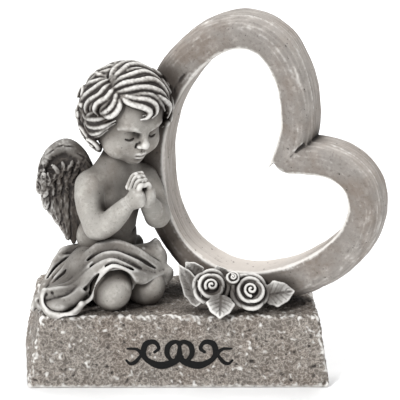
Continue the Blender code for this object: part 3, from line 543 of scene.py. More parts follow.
def make_ring():
    """The heart, with brush strokes along the bar, nicks, the mould's seam, a front face lighter towards its
    outside and darker towards the opening, and painted light and shade: painted light on the inner wall,
    strongest at its foot, a painted highlight along the front inner edge and a painted shadow of the figure
    on its lower left.
    """
    floor = low("heart_ring")[2]
    turn = math.radians(RING_TURN)
    spin = np.array([[math.cos(turn), math.sin(turn), 0], [-math.sin(turn), math.cos(turn), 0], [0, 0, 1.0]])
    place = (spin, np.array([*RING_CENTRE, 0.0]))
    piece = Piece("heart_frame", ring_clay(), ["heart_ring"], "resin_body", place)
    local = (piece.points - (*RING_CENTRE, 0.0)) @ spin
    out = heart_reach(local[:, 0], local[:, 2])
    seam = np.clip(1 - np.abs(local[:, 1] - SEAM_DEPTH) / 0.65, 0, 1) * (out > 3.5)
    lumps = ripple(local, 14, 21) * 0.4 + ripple(local, 5.0, 22) * 0.14
    brushed = np.stack([out, local[:, 1], local[:, 0] * 0.12 + local[:, 2] * 0.12], axis=1)
    strokes = ripple(brushed, 1.1, 25)
    grain = ripple(local, 1.3, 23) * 0.045 + strokes * 0.05
    nicks = np.minimum(pebbles(local, 5.5, 24) - 0.13, 0) * 2.6
    fine = grain + nicks * 0.7
    piece.raise_by((lumps + fine + seam * 0.22) * np.clip((local[:, 2] - floor) / 1.5, 0, 1))
    piece.fine = piece.fine - fine * 0.9 - seam * 0.06
    band = ring_band(local[:, 0], local[:, 2])
    # Painted light: the inner wall of the opening is made lighter, most of all at the foot, where it faces up
    # to the light.
    wall = np.clip(-out - band + 1.3, 0, 1)
    # Painted highlight: a pale line along the front inner edge of the bar.
    edge_highlight = np.clip(1 - np.abs(out + band - 0.5) / 0.8, 0, 1) * (local[:, 1] < -7.5)
    foot = np.clip((62 - local[:, 2]) / 22, 0, 1)
    # Painted shadow: the front face is darkened at the lower left, where the figure shades it.
    figure_shadow = np.clip((-22 - local[:, 0]) / 14, 0, 1) * np.clip((84 - local[:, 2]) / 20, 0, 1)
    piece.tint_and_light = strokes * 0.22 + np.clip(out / 6.5, -1, 1) * 0.3 * (1 - wall) + wall * (0.45 + 0.7 * foot)
    piece.tint_and_light = piece.tint_and_light + edge_highlight * 0.7 - figure_shadow * (1 - wall) * 0.9
    # The same painted highlight, laid on a second time through the pale crest layer.
    piece.fine = piece.fine - edge_highlight * 0.07
    return piece


# Flesh: limbs as separate clays on one grid, blended where they join

BODY_TURN = 32.0
LEFT = turned(BODY_TURN) @ (1.0, 0.0, 0.0)
AHEAD = turned(BODY_TURN) @ (0.0, -1.0, 0.0)
FLESH_STEP = 0.43
FLESH_BOX = ((-53, -30, 32.2), (-2, 31, 103))


def limb(*shapes, blend=3.0):
    """One limb from eggs, given as (centre, radii, blend), and ropes, given as station lists."""
    clay = Clay(*FLESH_BOX, FLESH_STEP)
    spin = turned(BODY_TURN)
    for shape in shapes:
        if len(shape) == 3 and len(shape[0]) == 3 and np.ndim(shape[2]) == 0:
            clay.egg(shape[0], shape[1], spin, shape[2])
        else:
            clay.rope(shape, blend)
    return clay


def around(centre, side, ahead, up):
    """A spot given from a centre, to the body's left, ahead and up."""
    return np.array(centre) + LEFT * side + AHEAD * ahead + np.array([0, 0, up])


ARM_BONES = (  # right upper arm, right forearm, left upper arm, left forearm
    ((-39.5, -4.6, 84.6, 6.6), (-40, -7.6, 80, 6.3), (-39, -12, 74.4, 5.7), (-36.4, -15.2, 69.4, 5.2)),
    ((-37, -14.6, 69, 5.1), (-33.2, -16.8, 70.4, 5.3), (-28.6, -19.2, 75.4, 4.9), (-24.2, -21.2, 81.2, 3.7)),
    ((-14.6, 8, 84.4, 6.2), (-12, 5, 80.2, 5.6), (-10, 0.2, 75, 5.3), (-9.6, -4.2, 71.8, 5.3)),
    ((-9.4, -4.4, 71.4, 5.3), (-10.2, -8, 72.8, 5.3), (-12.4, -12.6, 77.2, 4.8), (-14.8, -16.6, 82, 3.6)),
)
LEGS = (  # (hip, knee, ankle, toes, knee dome's radii)
    ((-36.0, 1.0, 46.0), (-30.0, -18.4, 42.2), (-45.0, 9.0, 38.0), (-48.5, 15.0, 36.5), (8.6, 8.8, 10.6)),
    ((-25.0, 7.0, 46.0), (-14.4, -8.8, 40.2), (-28.0, 19.0, 38.0), (-32.0, 24.0, 36.5), (8.2, 8.4, 9.4)),
)


def make_torso():
    """Torso, neck and shoulders, with the spine's groove, the navel and the crease of the waist."""
    chest = (-29.0, 2.2, 74.0)
    torso = limb(
        ((-31.5, 5.0, 46.5), (14.5, 12.5, 12.0), 4.0),
        ((-31.5, 2.8, 60.0), (14.4, 11.0, 11.5), 4.0),
        ((-29.0, 2.2, 74.0), (13.0, 9.6, 13.0), 5.0),
        (around((-31.5, 3.4, 57.5), 0, 5.0, 0), (10.5, 7.6, 8.0), 3.0),
        (around(chest, -5.2, 5.2, 4.8), (6.0, 4.2, 4.6), 3.0),
        (around(chest, 5.2, 5.2, 4.8), (6.0, 4.2, 4.6), 3.0),
        (around(chest, -6.4, -5.4, 4.0), (5.6, 4.4, 7.0), 3.0),
        (around(chest, 6.4, -5.4, 4.0), (5.6, 4.4, 7.0), 3.0),
        ((-38.5, -4.0, 85.5, 5.6), (-28.0, 2.5, 87.0, 7.0), (-16.0, 8.0, 85.5, 5.6)),
        ((-28.5, 1.5, 90.0, 7.2), (-26.0, -0.5, 101.0, 6.6)),
        ((-36.0, -1.5, 87.0, 4.6), (-29.5, 0.5, 95.5, 4.4)),
        ((-20.5, 5.5, 87.0, 4.6), (-25.0, 2.0, 95.5, 4.4)),
        blend=4.0,
    )
    back = around(chest, 0, -9.6, 0)
    spine = ((-22, 0.6), (-10, 1.3), (2, 1.2), (10, 0.7))
    torso.rope([(*(back + (0, 0, rise)), radius) for rise, radius in spine], 3.0, True)
    torso.egg(around((-31.5, 3.4, 57.0), 0.5, 12.7, 1.0), (0.9, 1.2, 1.0), turned(BODY_TURN), 1.2, True)
    waist_crease = (
        (-13.6, 3.0, 0.8, 0.3), (-7, 10.6, -0.8, 0.45), (0, 12.4, -1.2, 0.5),
        (7, 10.4, -0.6, 0.5), (13.4, 2.0, 1.0, 0.3),
    )
    torso.rope([(*around((-31.5, 3.0, 62.8), s, a, u), r) for s, a, u, r in waist_crease], 1.6, True)
    return torso


def make_leg(hip, knee, ankle, toes, dome):
    """A kneeling leg: thigh, a round knee, shin, foot and five toes."""
    hip, knee, ankle, toes = (np.array(p) for p in (hip, knee, ankle, toes))
    shin = knee + (-1.0, 3.0, -1.5)
    run = (toes - ankle) / np.linalg.norm(toes - ankle)
    wide = np.cross(run, (0, 0, 1.0))
    leg = limb(
        ((*hip, 8.4), (*knee, 8.2)),
        (knee, dome, 3.0),
        ((*shin, 6.8), (*((shin + ankle) / 2 + (0, 0, 0.6)), 6.2), (*ankle, 4.2)),
        ((*ankle, 4.2), (*toes, 3.2)),
        (ankle + (0, 0, 1.4), (3.9, 3.9, 3.7), 1.6),
    )
    leg.egg(knee + AHEAD * 6.6 + (0, 0, 1.6), (4.2, 3.2, 4.4), turned(BODY_TURN), 3.2)
    for n in range(5):
        spot = toes + wide * (n - 2) * 1.55 + run * (2.6 - 0.35 * abs(n - 1.3)) + (0, 0, -0.6)
        leg.egg(spot, (1.05, 1.5, 1.15), turned(BODY_TURN), 0.35)
    return leg


def make_flesh():
    """Torso, arms and legs: blended into one skin, then shared out so that each piece keeps its own part."""
    torso = make_torso()
    upper_right, fore_right, upper_left, fore_left = (limb(bone) for bone in ARM_BONES)
    legs = [make_leg(*leg) for leg in LEGS]
    solids = {
        "torso_flesh": (["torso"], torso.field),
        "right_arm_flesh": (["right_arm"], join(upper_right.field, fore_right.field, 2.6)),
        "left_arm_flesh": (["left_arm"], join(upper_left.field, fore_left.field, 2.6)),
        "right_leg_flesh": (["right_leg"], legs[0].field),
        "left_leg_flesh": (["left_leg"], legs[1].field),
    }
    skin = np.minimum(join(torso.field, upper_right.field, 3.4), join(torso.field, upper_left.field, 3.4))
    for leg in legs:
        skin = np.minimum(skin, join(torso.field, leg.field, 3.0))
    for _, field in solids.values():
        skin = np.minimum(skin, field)
    pieces = []
    for name, (nodes, field) in solids.items():
        rest = np.minimum.reduce([other for _, other in solids.values() if other is not field])
        lead = field - rest
        clay = Clay(*FLESH_BOX, FLESH_STEP)
        clay.field = np.maximum(skin + 0.3 * np.maximum(lead, 0), lead - 0.8)
        piece = Piece(name, clay, nodes, "resin_body")
        roughen_skin(piece)
        pieces.append(piece)
    return pieces


def roughen_skin(piece, seed=31):
    """The slight unevenness of cast, hand-finished flesh, with a few tiny casting pits."""
    lumps = ripple(piece.points, 5.5, seed) * 0.1
    grain = ripple(piece.points, 1.4, seed + 1) * 0.022
    pits = np.minimum(pebbles(piece.points, 4.6, seed + 2) - 0.1, 0) * 2.2
    piece.raise_by(lumps + grain + pits)
    piece.fine = piece.fine - (grain + pits) * 0.8


def make_hands():
    """Two hands palm to palm: the left's fingers are the right's, mirrored in the plane between them."""
    pieces = []
    fingers = (
        ((-23.2, -19.2, 88.8), (-21.0, -18.0, 93.4), (-17.6, -17.6, 94.6)),
        ((-22.0, -21.0, 88.6), (-20.2, -20.0, 93.2), (-16.8, -19.2, 93.6)),
        ((-20.7, -22.9, 88.0), (-19.2, -22.0, 92.2), (-16.3, -20.8, 92.2)),
        ((-19.7, -24.4, 87.0), (-18.5, -23.9, 90.9), (-16.6, -22.6, 91.0)),
    )
    seam = around((-17.2, -21.2, 86.0), 0, 0, 0)
    for name, side, node in (("right_hand_flesh", -1, "right_hand"), ("left_hand_flesh", 1, "left_hand")):
        box_low, box_high = low(node) - (3.4, 3.4, 4), high(node) + (3.4, 3.4, 2.5)
        clay = Clay(box_low, box_high, 0.25)
        wrist = np.array((-23.9, -21.3, 81.6) if side < 0 else (-14.6, -17.0, 82.2))
        palm = around(seam, 2.6 * side, -0.2, -0.6)
        spin = turned(BODY_TURN, 0, 14 * side)
        clay.egg(palm, (3.1, 4.3, 5.0), spin, 1.5)
        clay.rope(((*wrist, 3.35), (*(wrist * 0.45 + palm * 0.55), 3.5), (*palm, 3.0)), 1.8)
        for n, path in enumerate(fingers):
            spots = [np.array(p) for p in path]
            if side > 0:
                away = [(p - seam) @ LEFT for p in spots]
                spots = [p - 2 * a * LEFT * 0.86 for p, a in zip(spots, away)]
            lift = np.array([0, 0, 0.35 - 0.12 * n])
            stations = [(*(p + lift), r) for p, r in zip(spots, (1.42, 1.28, 1.02))]
            clay.rope(stations, 0.2, count=8)
        thumb = around(seam, 2.2 * side, -4.4, -0.5)
        knuckle, tip = thumb + (0, 0, 3.6), thumb + (0, 0, 6.4) - LEFT * side * 0.9
        clay.rope(((*thumb, 1.6), (*knuckle, 1.45), (*tip, 1.1)), 0.5)
        x, y, z = clay.axes()
        away = (x - seam[0]) * LEFT[0] + (y - seam[1]) * LEFT[1]
        across = -away * side - 0.1
        keep = np.where(z < seam[2] + 3.6, across, across - 2.4)
        clay.field = np.maximum(clay.field, keep.astype(np.float32))
        crease = wrist + (palm - wrist) * 0.16
        axis = (palm - wrist) / np.linalg.norm(palm - wrist)
        ring_crease(clay, crease, axis, 3.6, 0.28)
        piece = Piece(name, clay, [node], "resin_body")
        roughen_skin(piece, 41)
        pieces.append(piece)
    return pieces


def ring_crease(clay, centre, axis, radius, depth):
    """A crease all round a limb."""
    across = np.cross(axis, (0, 0, 1.0))
    across /= np.linalg.norm(across)
    other = np.cross(axis, across)
    loop = []
    for angle in np.radians(np.arange(0, 361, 24)):
        loop.append((*(centre + across * radius * math.cos(angle) + other * radius * math.sin(angle)), depth))
    clay.rope(loop, 0.5, True, count=2)


# Head: a plain, calm child's face with lowered lids; spots are (to its left, ahead, up) from its middle

HEAD_CENTRE = np.array([-24.8, -2.0, 117.4])
HEAD_SPIN = turned(33.0, 16.0)
HEAD_PLACE = (HEAD_SPIN, HEAD_CENTRE)


def face(side, ahead, up):
    return np.array([side, -ahead, up])


def faces(*stations):
    """Rope stations given as (side, ahead, up, radius)."""
    return [(*face(side, ahead, up), radius) for side, ahead, up, radius in stations]


def make_head():
    """Skull, cheeks and chin, closed eyes under soft brows, ears, a small nose and a closed mouth."""
    clay = Clay((-18.5, -22, -21), (18.5, 19.5, 20), 0.3)
    clay.egg(face(0, -1.5, 2.5), (16.4, 17.2, 16.5))
    clay.egg(face(0, 3.5, -6), (13.4, 12.6, 12.2), None, 4)
    clay.egg(face(0, 5, -12.2), (9.8, 8.8, 6.4), None, 3)
    clay.egg(face(0, 9.8, 4.6), (10.0, 7.0, 8.0), None, 4)
    clay.egg(face(0, 11.6, -11.2), (5.4, 5.2, 4.3), None, 3)
    clay.egg(face(0, 11.9, -15.2), (3.7, 3.6, 3.1), None, 2.6)
    for side in (-1, 1):
        clay.egg(face(7.5 * side, 8.7, -9.2), (6.2, 5.6, 5.9), None, 3)
        clay.egg(face(6.0 * side, 16.4, -1.9), (3.9, 2.7, 2.3), None, 2.2, True)
        clay.egg(face(5.9 * side, 11.3, -2.5), (3.5, 3.0, 2.8), None, 0.7)
        clay.rope(faces(
            (3.0 * side, 16.1, 1.6, 0.5), (5.6 * side, 15.8, 2.7, 0.75),
            (8.4 * side, 14.3, 2.7, 0.7), (11.0 * side, 11.8, 1.2, 0.3),
        ), 2.6)
        clay.rope(faces(
            (2.9 * side, 13.6, -2.9, 0.2), (4.4 * side, 14.3, -3.9, 0.34), (6.2 * side, 14.3, -4.3, 0.36),
            (8.0 * side, 13.3, -3.8, 0.32), (9.4 * side, 11.9, -2.9, 0.2),
        ), 0.35, True)
        clay.rope(faces(
            (3.1 * side, 13.7, -1.3, 0.2), (4.6 * side, 14.3, -0.1, 0.3), (6.3 * side, 14.1, 0.3, 0.3),
            (8.2 * side, 13.0, -0.3, 0.28), (9.5 * side, 11.8, -1.6, 0.15),
        ), 0.6, True)
        clay.egg(face(15.8 * side, -0.5, -4.5), (1.7, 2.6, 3.6), None, 0.8)
        clay.egg(face(17.2 * side, 0.2, -4.3), (0.9, 1.3, 2.0), None, 0.6, True)
    clay.rope(faces((0, 15.6, 1.4, 1.4), (0, 16.6, -2.2, 1.35), (0, 18.0, -5.0, 1.7)), 1.8)
    clay.egg(face(0, 18.0, -5.9), (2.0, 1.9, 1.7), None, 1.0)
    for side in (-1, 1):
        clay.egg(face(1.95 * side, 16.7, -6.7), (1.2, 1.5, 1.05), None, 0.7)
        clay.egg(face(0.95 * side, 17.7, -7.6), (0.55, 0.75, 0.5), None, 0.4, True)
        clay.rope(faces((2.9 * side, 15.9, -5.9, 0.3), (3.0 * side, 15.6, -7.6, 0.3)), 0.8, True)
    clay.rope(faces((0, 17.0, -8.5, 0.35), (0, 17.2, -9.8, 0.4)), 0.9, True)
    lip = ((3.5, 14.7, -11.4, 0.45), (1.7, 16.3, -10.7, 0.85), (0.0, 16.6, -11.1, 0.75))
    under = ((2.8, 14.9, -12.3, 0.45), (1.4, 15.8, -12.8, 1.0), (0.0, 16.2, -13.0, 1.15))
    gap = ((3.9, 14.5, -11.7, 0.22), (2.0, 16.4, -11.7, 0.3), (0.9, 17, -11.9, 0.3), (0, 17.3, -12, 0.3))
    for row, blend, cut in ((lip, 0.7, False), (under, 0.7, False), (gap, 0.3, True)):
        whole = list(row) + [(-s, a, u, r) for s, a, u, r in row[-2::-1]]
        clay.rope(faces(*whole), blend, cut)
    clay.egg(face(0, 16.9, -14.5), (2.6, 1.2, 0.8), None, 1.2, True)
    piece = Piece("head_face", clay, ["head"], "resin_body", HEAD_PLACE)
    roughen_skin(piece, 51)
    return piece


# Hair: ropes laid over an egg round the head; guides are (longitude, latitude) in degrees, where
# longitude 0 is straight ahead, 90 is to the head's left and latitude 90 is the crown

HAIR_MIDDLE = face(0.6, -1.0, 1.7)
HAIR_RADII = np.array([18.3, 18.9, 19.6])
SWEPT = (
    ((-96, 55), (-150, 72), (145, 64), (108, 60), (82, 47)),
    ((-89, 54), (-105, 76), (116, 71), (88, 51), (68, 34)),
    ((-77, 52), (-61, 71), (42, 75), (63, 51), (61, 24)),
    ((-70, 48), (-43, 62), (21, 65), (50, 43), (57, 17), (53, 10)),
    ((-62, 44), (-35, 52), (12, 55), (36, 35), (47, 15)),
    ((-55, 42), (-30, 45), (4, 45), (22, 33), (32, 19)),
)
FORELOCKS = (
    (((-52, 42), (-30, 42), (-6, 40), (8, 31), (8, 22), (1, 18)), 1.5),
    (((-51, 40), (-33, 36), (-14, 32), (-4, 26), (-8, 19), (-16, 17)), 1.5),
    (((12, 44), (30, 33), (42, 22), (44, 12), (38, 7)), 1.4),
)
SIDE_LOCKS = (
    ((-110, 52), (-128, 42), (-150, 24), (-150, 10), (-138, 2)),
    ((-104, 51), (-114, 36), (-128, 20), (-126, 8), (-114, 2)),
    ((-97, 51), (-102, 37), (-108, 20), (-113, 6), (-109, -8), (-95, -9)),
    ((-85, 49), (-88, 32), (-96, 17), (-98, 3), (-86, -2)),
    ((-72, 47), (-72, 32), (-81, 19), (-82, 10), (-75, 7)),
    ((-61, 45), (-57, 32), (-64, 20), (-72, 13), (-76, 16)),
    ((-52, 41), (-49, 27), (-56, 16), (-66, 12), (-70, 17)),
)
LOW_LOCKS = (
    ((-104, 14), (-108, 4), (-98, -6), (-82, -2), (-68, 7), (-56, 14)),
    ((-84, 8), (-92, -4), (-90, -14), (-76, -10), (-62, 0), (-50, 10)),
    ((-90, 0), (-96, -16), (-86, -24), (-70, -14), (-58, -3)),
    ((-98, -8), (-108, -22), (-98, -34), (-82, -30), (-70, -18)),
)
CURLS = (  # (longitude, latitude, size in mm, turns, start angle)
    (-84, -38, 4.2, 1.2, 40), (-103, -33, 4.6, 1, 150), (-122, -18, 4.4, 0.9, 80), (-128, 8, 4.2, 0.7, 200),
    (-92, -52, 4.4, 1, 300), (-118, -38, 4.2, 0.9, 210), (-110, -6, 3.6, 0.8, 250), (-128, -44, 4.4, 1, 30),
    (-138, -31, 4.2, 1, 170), (-106, -52, 4.2, 1, 120), (66, 12, 3.8, 1.3, 120), (74, 31, 3.7, 1.2, 240),
    (64, -6, 3.4, 1.2, 30), (78, -18, 3.6, 1.3, 190), (90, 8, 3.9, 1.2, 330), (94, -32, 3.4, 1.2, 70),
    (92, 44, 3.5, 1.1, 100),
)


def on_hair(longitude, latitude, lift=0.0):
    """The spot on the hair's egg at these angles, raised by lift."""
    lon, lat = math.radians(longitude), math.radians(latitude)
    way = np.array([math.sin(lon) * math.cos(lat), -math.cos(lon) * math.cos(lat), math.sin(lat)])
    return HAIR_MIDDLE + way * (HAIR_RADII + lift)


def hug(points, lift):
    """Points moved out or in along their own direction until they lie this far off the hair's egg."""
    way = (points - HAIR_MIDDLE) / HAIR_RADII
    way = way / np.linalg.norm(way, axis=1, keepdims=True)
    return HAIR_MIDDLE + way * (HAIR_RADII + np.asarray(lift)[:, None])


def lay_lock(clay, guide, radius, lift=0.0, sway=0.0, phase=0.0, blend=0.06, points=17):
    """One lock along a guide of spots: it swells after the root, thins to the tip and waves a little."""
    path = smooth_path(guide, 8)
    steps = np.linalg.norm(np.diff(path, axis=0), axis=1)
    walked = np.concatenate([[0], np.cumsum(steps)])
    even = np.linspace(0, walked[-1], points)
    spots = np.stack([np.interp(even, walked, path[:, k]) for k in range(3)], axis=1)
    share = np.linspace(0, 1, points)
    outward = (spots - HAIR_MIDDLE) / np.linalg.norm(spots - HAIR_MIDDLE, axis=1, keepdims=True)
    along = np.gradient(spots, axis=0)
    across = np.cross(along, outward)
    across /= np.maximum(np.linalg.norm(across, axis=1, keepdims=True), 1e-6)
    wave = np.sin(share * math.tau * walked[-1] / 17 + phase) * sway * np.sin(share * math.pi) ** 0.5
    spots = hug(spots + across * wave[:, None], lift - 0.8 + 0.6 * np.sin(share * math.pi))
    swell = np.clip(0.5 + share * 4, 0, 1) * np.clip((1.04 - share) * 3.2, 0.34, 1)
    stations = np.column_stack([spots, radius * swell])
    clay.rope(stations, blend, count=2)
    return stations


def blend_guides(one, other, share):
    """The guide that lies this share of the way from one guide to the other, as nine spots."""
    a = smooth_path([on_hair(*spot) for spot in one], 8)
    b = smooth_path([on_hair(*spot) for spot in other], 8)
    at = np.linspace(0, 1, 9)
    rows = []
    for path in (a, b):
        steps = np.linspace(0, 1, len(path))
        rows.append(np.stack([np.interp(at, steps, path[:, k]) for k in range(3)], axis=1))
    return rows[0] * (1 - share) + rows[1] * share


def lay_curl(clay, longitude, latitude, size, turns, start, radius=1.35, lift=(0.9, 1.9)):
    """A round curl: a spiral that lifts towards its middle."""
    centre = on_hair(longitude, latitude)
    out = centre - HAIR_MIDDLE
    out /= np.linalg.norm(out)
    across = np.cross(out, (0.2, 0.1, 1.0))
    across /= np.linalg.norm(across)
    other = np.cross(out, across)
    stations = []
    for share in np.linspace(0, 1, 16):
        angle = math.radians(start) + share * turns * math.tau
        reach = size * (1 - 0.72 * share)
        height = lift[0] + lift[1] * share**0.8
        spot = centre + (across * math.cos(angle) + other * math.sin(angle)) * reach + out * height
        stations.append((*spot, radius * (1.05 - 0.45 * share)))
    clay.rope(stations, 0.12, count=2)


def make_hair():
    """A cap with the face left open, then the locks from the back round the sides to the forelocks."""
    chance = np.random.default_rng(7)
    clay = Clay((-24.5, -24.5, -20.5), (24.5, 24.5, 24.5), 0.34)
    clay.egg(HAIR_MIDDLE, HAIR_RADII - 1.7)
    opening = turned(0, -34)
    clay.egg(face(0, 21.0, -13.5), (15.2, 21.0, 22.0), opening, 1.0, True)
    clay.egg(face(0, 4.0, -24.0), (15.0, 15.5, 12.0), None, 1.0, True)
    for n, lon in enumerate(range(-116, -264, -12)):
        root, crown = (-95 + 2 * n, 58 - n), (lon * 0.5 - 60, 66)
        fall = ((lon, 44), (lon + 5, 20), (lon - 4, -2), (lon + 3, -20 - 10 * (n % 2)))
        spots = [on_hair(*spot) for spot in (root, crown, *fall)]
        lay_lock(clay, spots, 1.75, 0.7 * (n % 2) - 0.2, 0.9, n * 1.7)
    for n, lon in enumerate(range(-122, -262, -14)):
        turn = 60 * n
        lay_curl(clay, lon, -27 - 8 * (n % 2), 4.1, 0.72, turn, 1.75, lift=(-0.1, 1.0))
        lay_curl(clay, lon + 7, -8 + 9 * (n % 2), 3.9, 0.66, turn + 140, 1.7, lift=(-0.1, 1.0))
    for one, other in zip(SIDE_LOCKS, SIDE_LOCKS[1:]):
        for share in (0.0, 0.5):
            guide = blend_guides(one, other, share)
            thick = 1.5 if share == 0 else 1.2
            lift = 0.9 - 1.2 * share + chance.uniform(0, 0.3)
            lay_lock(clay, guide, thick, lift, 0.5, chance.uniform(0, 6))
    lay_lock(clay, [on_hair(*spot) for spot in SIDE_LOCKS[-1]], 1.5, 1.0, 0.3)
    for n, guide in enumerate(LOW_LOCKS):
        for shift in (0.0, 4.5):
            spots = [on_hair(lon, lat - shift) for lon, lat in guide]
            lay_lock(clay, spots, 1.3, 0.9 - 0.14 * shift, 0.2, n)
    for one, other in zip(SWEPT, SWEPT[1:]):
        for share in (0.0, 0.5):
            guide = blend_guides(one, other, share)
            thick = chance.uniform(1.3, 1.45) + (0.3 if share == 0 else 0)
            lift = chance.uniform(-0.1, 0.3) + (0.9 if share == 0 else 0.2)
            lay_lock(clay, guide, thick, lift, 0.6, chance.uniform(0, 6))
    lay_lock(clay, [on_hair(*spot) for spot in SWEPT[-1]], 1.55, 1.1, 0.3, 1)
    for guide, radius in FORELOCKS:
        for shift, lift in ((0.0, 1.7), (6.0, 1.1)):
            spots = [on_hair(lon + shift * 0.5, lat + shift * 0.75) for lon, lat in guide]
            lay_lock(clay, spots, radius * (1 if shift == 0 else 0.85), lift, 0.1)
    for curl in CURLS:
        lay_curl(clay, *curl)
    piece = Piece("hair_locks", clay, ["hair"], "resin_body", HEAD_PLACE)
    grain = ripple(piece.points, 1.2, 61) * 0.05
    piece.raise_by(grain)
    piece.fine = piece.fine - grain * 0.8
    return piece


# The cast cloth over the lap

# Every path below is given as (x, y, z, radius) stations of a crest, lip, hollow or valley
LAP_FOLDS = (  # long crests from the knot at the left hip over the thigh to the hem
    (
        (-5.8, -8, 47.4, 1.2), (-12.8, -12, 53.6, 1.5), (-20.5, -14.5, 59.4, 1.7),
        (-28.5, -15.5, 62.4, 1.8), (-35.9, -14.2, 60.4, 1.7), (-41.5, -11, 54, 1.6), (-45.8, -9, 47.2, 1.5),
        (-52, -8.5, 42, 1.4), (-59.5, -10, 36.4, 1.2),
    ),
    (
        (-6.7, -10, 45.4, 1), (-13.7, -14.6, 49.6, 1.3), (-20.6, -18, 55.4, 1.4), (-28.7, -20.2, 59.2, 1.5),
        (-35.2, -19.2, 57.2, 1.5), (-40.4, -15.6, 50.4, 1.4), (-46.2, -13.4, 44.4, 1.4),
        (-54.8, -13.2, 40.2, 1.3), (-62, -14.6, 37, 1.1),
    ),
    (
        (-12, -15.4, 46.8, 1), (-19.4, -21, 50.8, 1.3), (-25.7, -24, 55.5, 1.4), (-31, -25.4, 57.4, 1.4),
        (-36.8, -24.6, 54.5, 1.4), (-41.9, -20.5, 48, 1.4), (-47, -18.8, 43.2, 1.3), (-53.5, -19, 42, 1.3),
        (-59.2, -19.8, 41.4, 1.1),
    ),
)
HEM_FOLD = (  # the turned edge that frames the two knees
    (-5.8, -10, 46.4, 1.2), (-10.4, -15, 46.4, 1.1), (-15, -18.6, 46.6, 1.1), (-19, -21.4, 47.2, 1.2),
    (-22.6, -24.4, 52.4, 1.3), (-26.4, -27, 55, 1.4), (-30.4, -28, 55.8, 1.4), (-34, -27.2, 52.4, 1.4),
    (-36.8, -26.2, 46.4, 1.4), (-38.4, -25.6, 41, 1.4), (-40.6, -25.6, 38.6, 1.3),
    (-43.4, -26.6, 37.4, 1.2),
)
SIDE_FOLDS = (  # the knot, then the folds down the right side and round the back
    (
        (-23.7, -8, 57.8, 0.9), (-17.9, -6, 57.4, 1.2), (-12.6, -4, 57.6, 1.2), (-9.8, -2.6, 59.6, 0.8),
    ),
    (
        (-11.6, -4.4, 57, 0.9), (-8.4, -5.2, 55.2, 1.1), (-7.6, -6, 51.6, 1.1), (-4.6, -8, 47.2, 1.2),
    ),
    (
        (-6.2, -8.4, 47.8, 0.9), (-10.2, -6.6, 53, 1.1), (-15.5, -7.5, 56.6, 0.9),
    ),
    (
        (-37.5, -22, 52, 0.8), (-42.6, -22.2, 44.8, 1.1), (-47.4, -22.6, 40.2, 1.2),
        (-51.6, -22.8, 38.4, 0.9),
    ),
    (
        (-38.6, -19.6, 54.2, 0.6), (-43.4, -17.2, 47.8, 0.9), (-48.6, -15.9, 43.6, 1),
        (-55.6, -16.3, 41.2, 0.9), (-61.2, -17.2, 38.8, 0.7),
    ),
    (
        (-42, -13.4, 50.6, 0.7), (-48.2, -11, 44.8, 1), (-55, -11.2, 40.2, 1), (-60.5, -12.4, 36.8, 0.8),
    ),
    (
        (-45.5, -3, 50.6, 1.2), (-50, -1.2, 47.2, 1.5), (-54.4, -1.4, 43, 1.5), (-58.6, -4.4, 38.6, 1.3),
    ),
    (
        (-44, 6.4, 53.4, 1.3), (-49.6, 5.6, 51.8, 1.7), (-53.4, 3.4, 48, 1.7), (-56, 0.8, 43.8, 1.4),
        (-58.4, -2.4, 39.4, 1),
    ),
    (
        (-44.6, 1, 48.4, 0.9), (-48.4, 2, 49.4, 1.3), (-51.8, 2.6, 49, 0.9),
    ),
    (
        (-40.6, -6, 57.2, 0.9), (-44.2, -4.4, 53.4, 1.1), (-48.6, -4.6, 48.4, 1.2), (-54, -6.4, 42.6, 1.1),
    ),
    (
        (-35, 18, 53.6, 1.1), (-38, 22.6, 46.8, 1.4), (-42, 23.8, 39.8, 1.3), (-46, 22.6, 34.8, 1.1),
    ),
    (
        (-26, 19, 54.6, 1.1), (-27.4, 24, 47.2, 1.4), (-30.6, 26.2, 40.4, 1.3), (-32, 26.8, 35, 1.1),
    ),
    (
        (-17, 15.2, 54.4, 1.1), (-16.8, 19.8, 47, 1.3), (-19.6, 22.6, 40.2, 1.3), (-21.6, 23.2, 35.2, 1.1),
    ),
    (
        (-9.6, 6.6, 55.2, 1.1), (-8.2, 10.8, 48, 1.3), (-11, 14.6, 41, 1.3), (-12.6, 16, 35.4, 1.1),
    ),
    (
        (-50, 12, 50, 1), (-53, 13, 43, 1.3), (-56, 11, 37, 1.2),
    ),
)
HEM_LIPS = (  # the thick edge that rests on the plinth
    (
        (-59.4, -19.9, 41.4, 1.3), (-60.4, -22, 39.4, 1.3), (-59.8, -24.8, 36.6, 1.4),
        (-57.2, -27, 33.8, 1.5), (-53, -28, 32.9, 1.5), (-48.4, -27.8, 33.4, 1.5), (-45, -27, 35.6, 1.4),
        (-43.2, -26.6, 38, 1.3),
    ),
    (
        (-56, -13, 39, 1.6), (-60.4, -14.6, 36.8, 1.8), (-63.2, -16.2, 34.4, 1.6), (-64.2, -17, 32.6, 1.2),
    ),
    (
        (-61.8, -15.4, 36.2, 1), (-61.6, -18.6, 34.2, 1.2), (-60.4, -20.8, 33.6, 1),
    ),
)
HEM_HOLLOWS = (  # pockets under the hem
    (
        (-58.4, -21.4, 40, 0.6), (-58.6, -23.8, 37.4, 1.2), (-56.4, -26, 35.6, 1.3),
        (-52.6, -26.8, 35.4, 1), (-48.6, -26.6, 36.2, 0.9), (-45, -25.6, 38.6, 0.5),
    ),
    (
        (-56, -20.4, 40.6, 0.4), (-54.2, -23, 38.8, 0.9), (-50.8, -24.4, 38.8, 0.5),
    ),
    (
        (-62.2, -19, 36, 0.9), (-60.6, -19.8, 36.6, 1.2), (-58.4, -19.4, 38.2, 0.8),
    ),
)
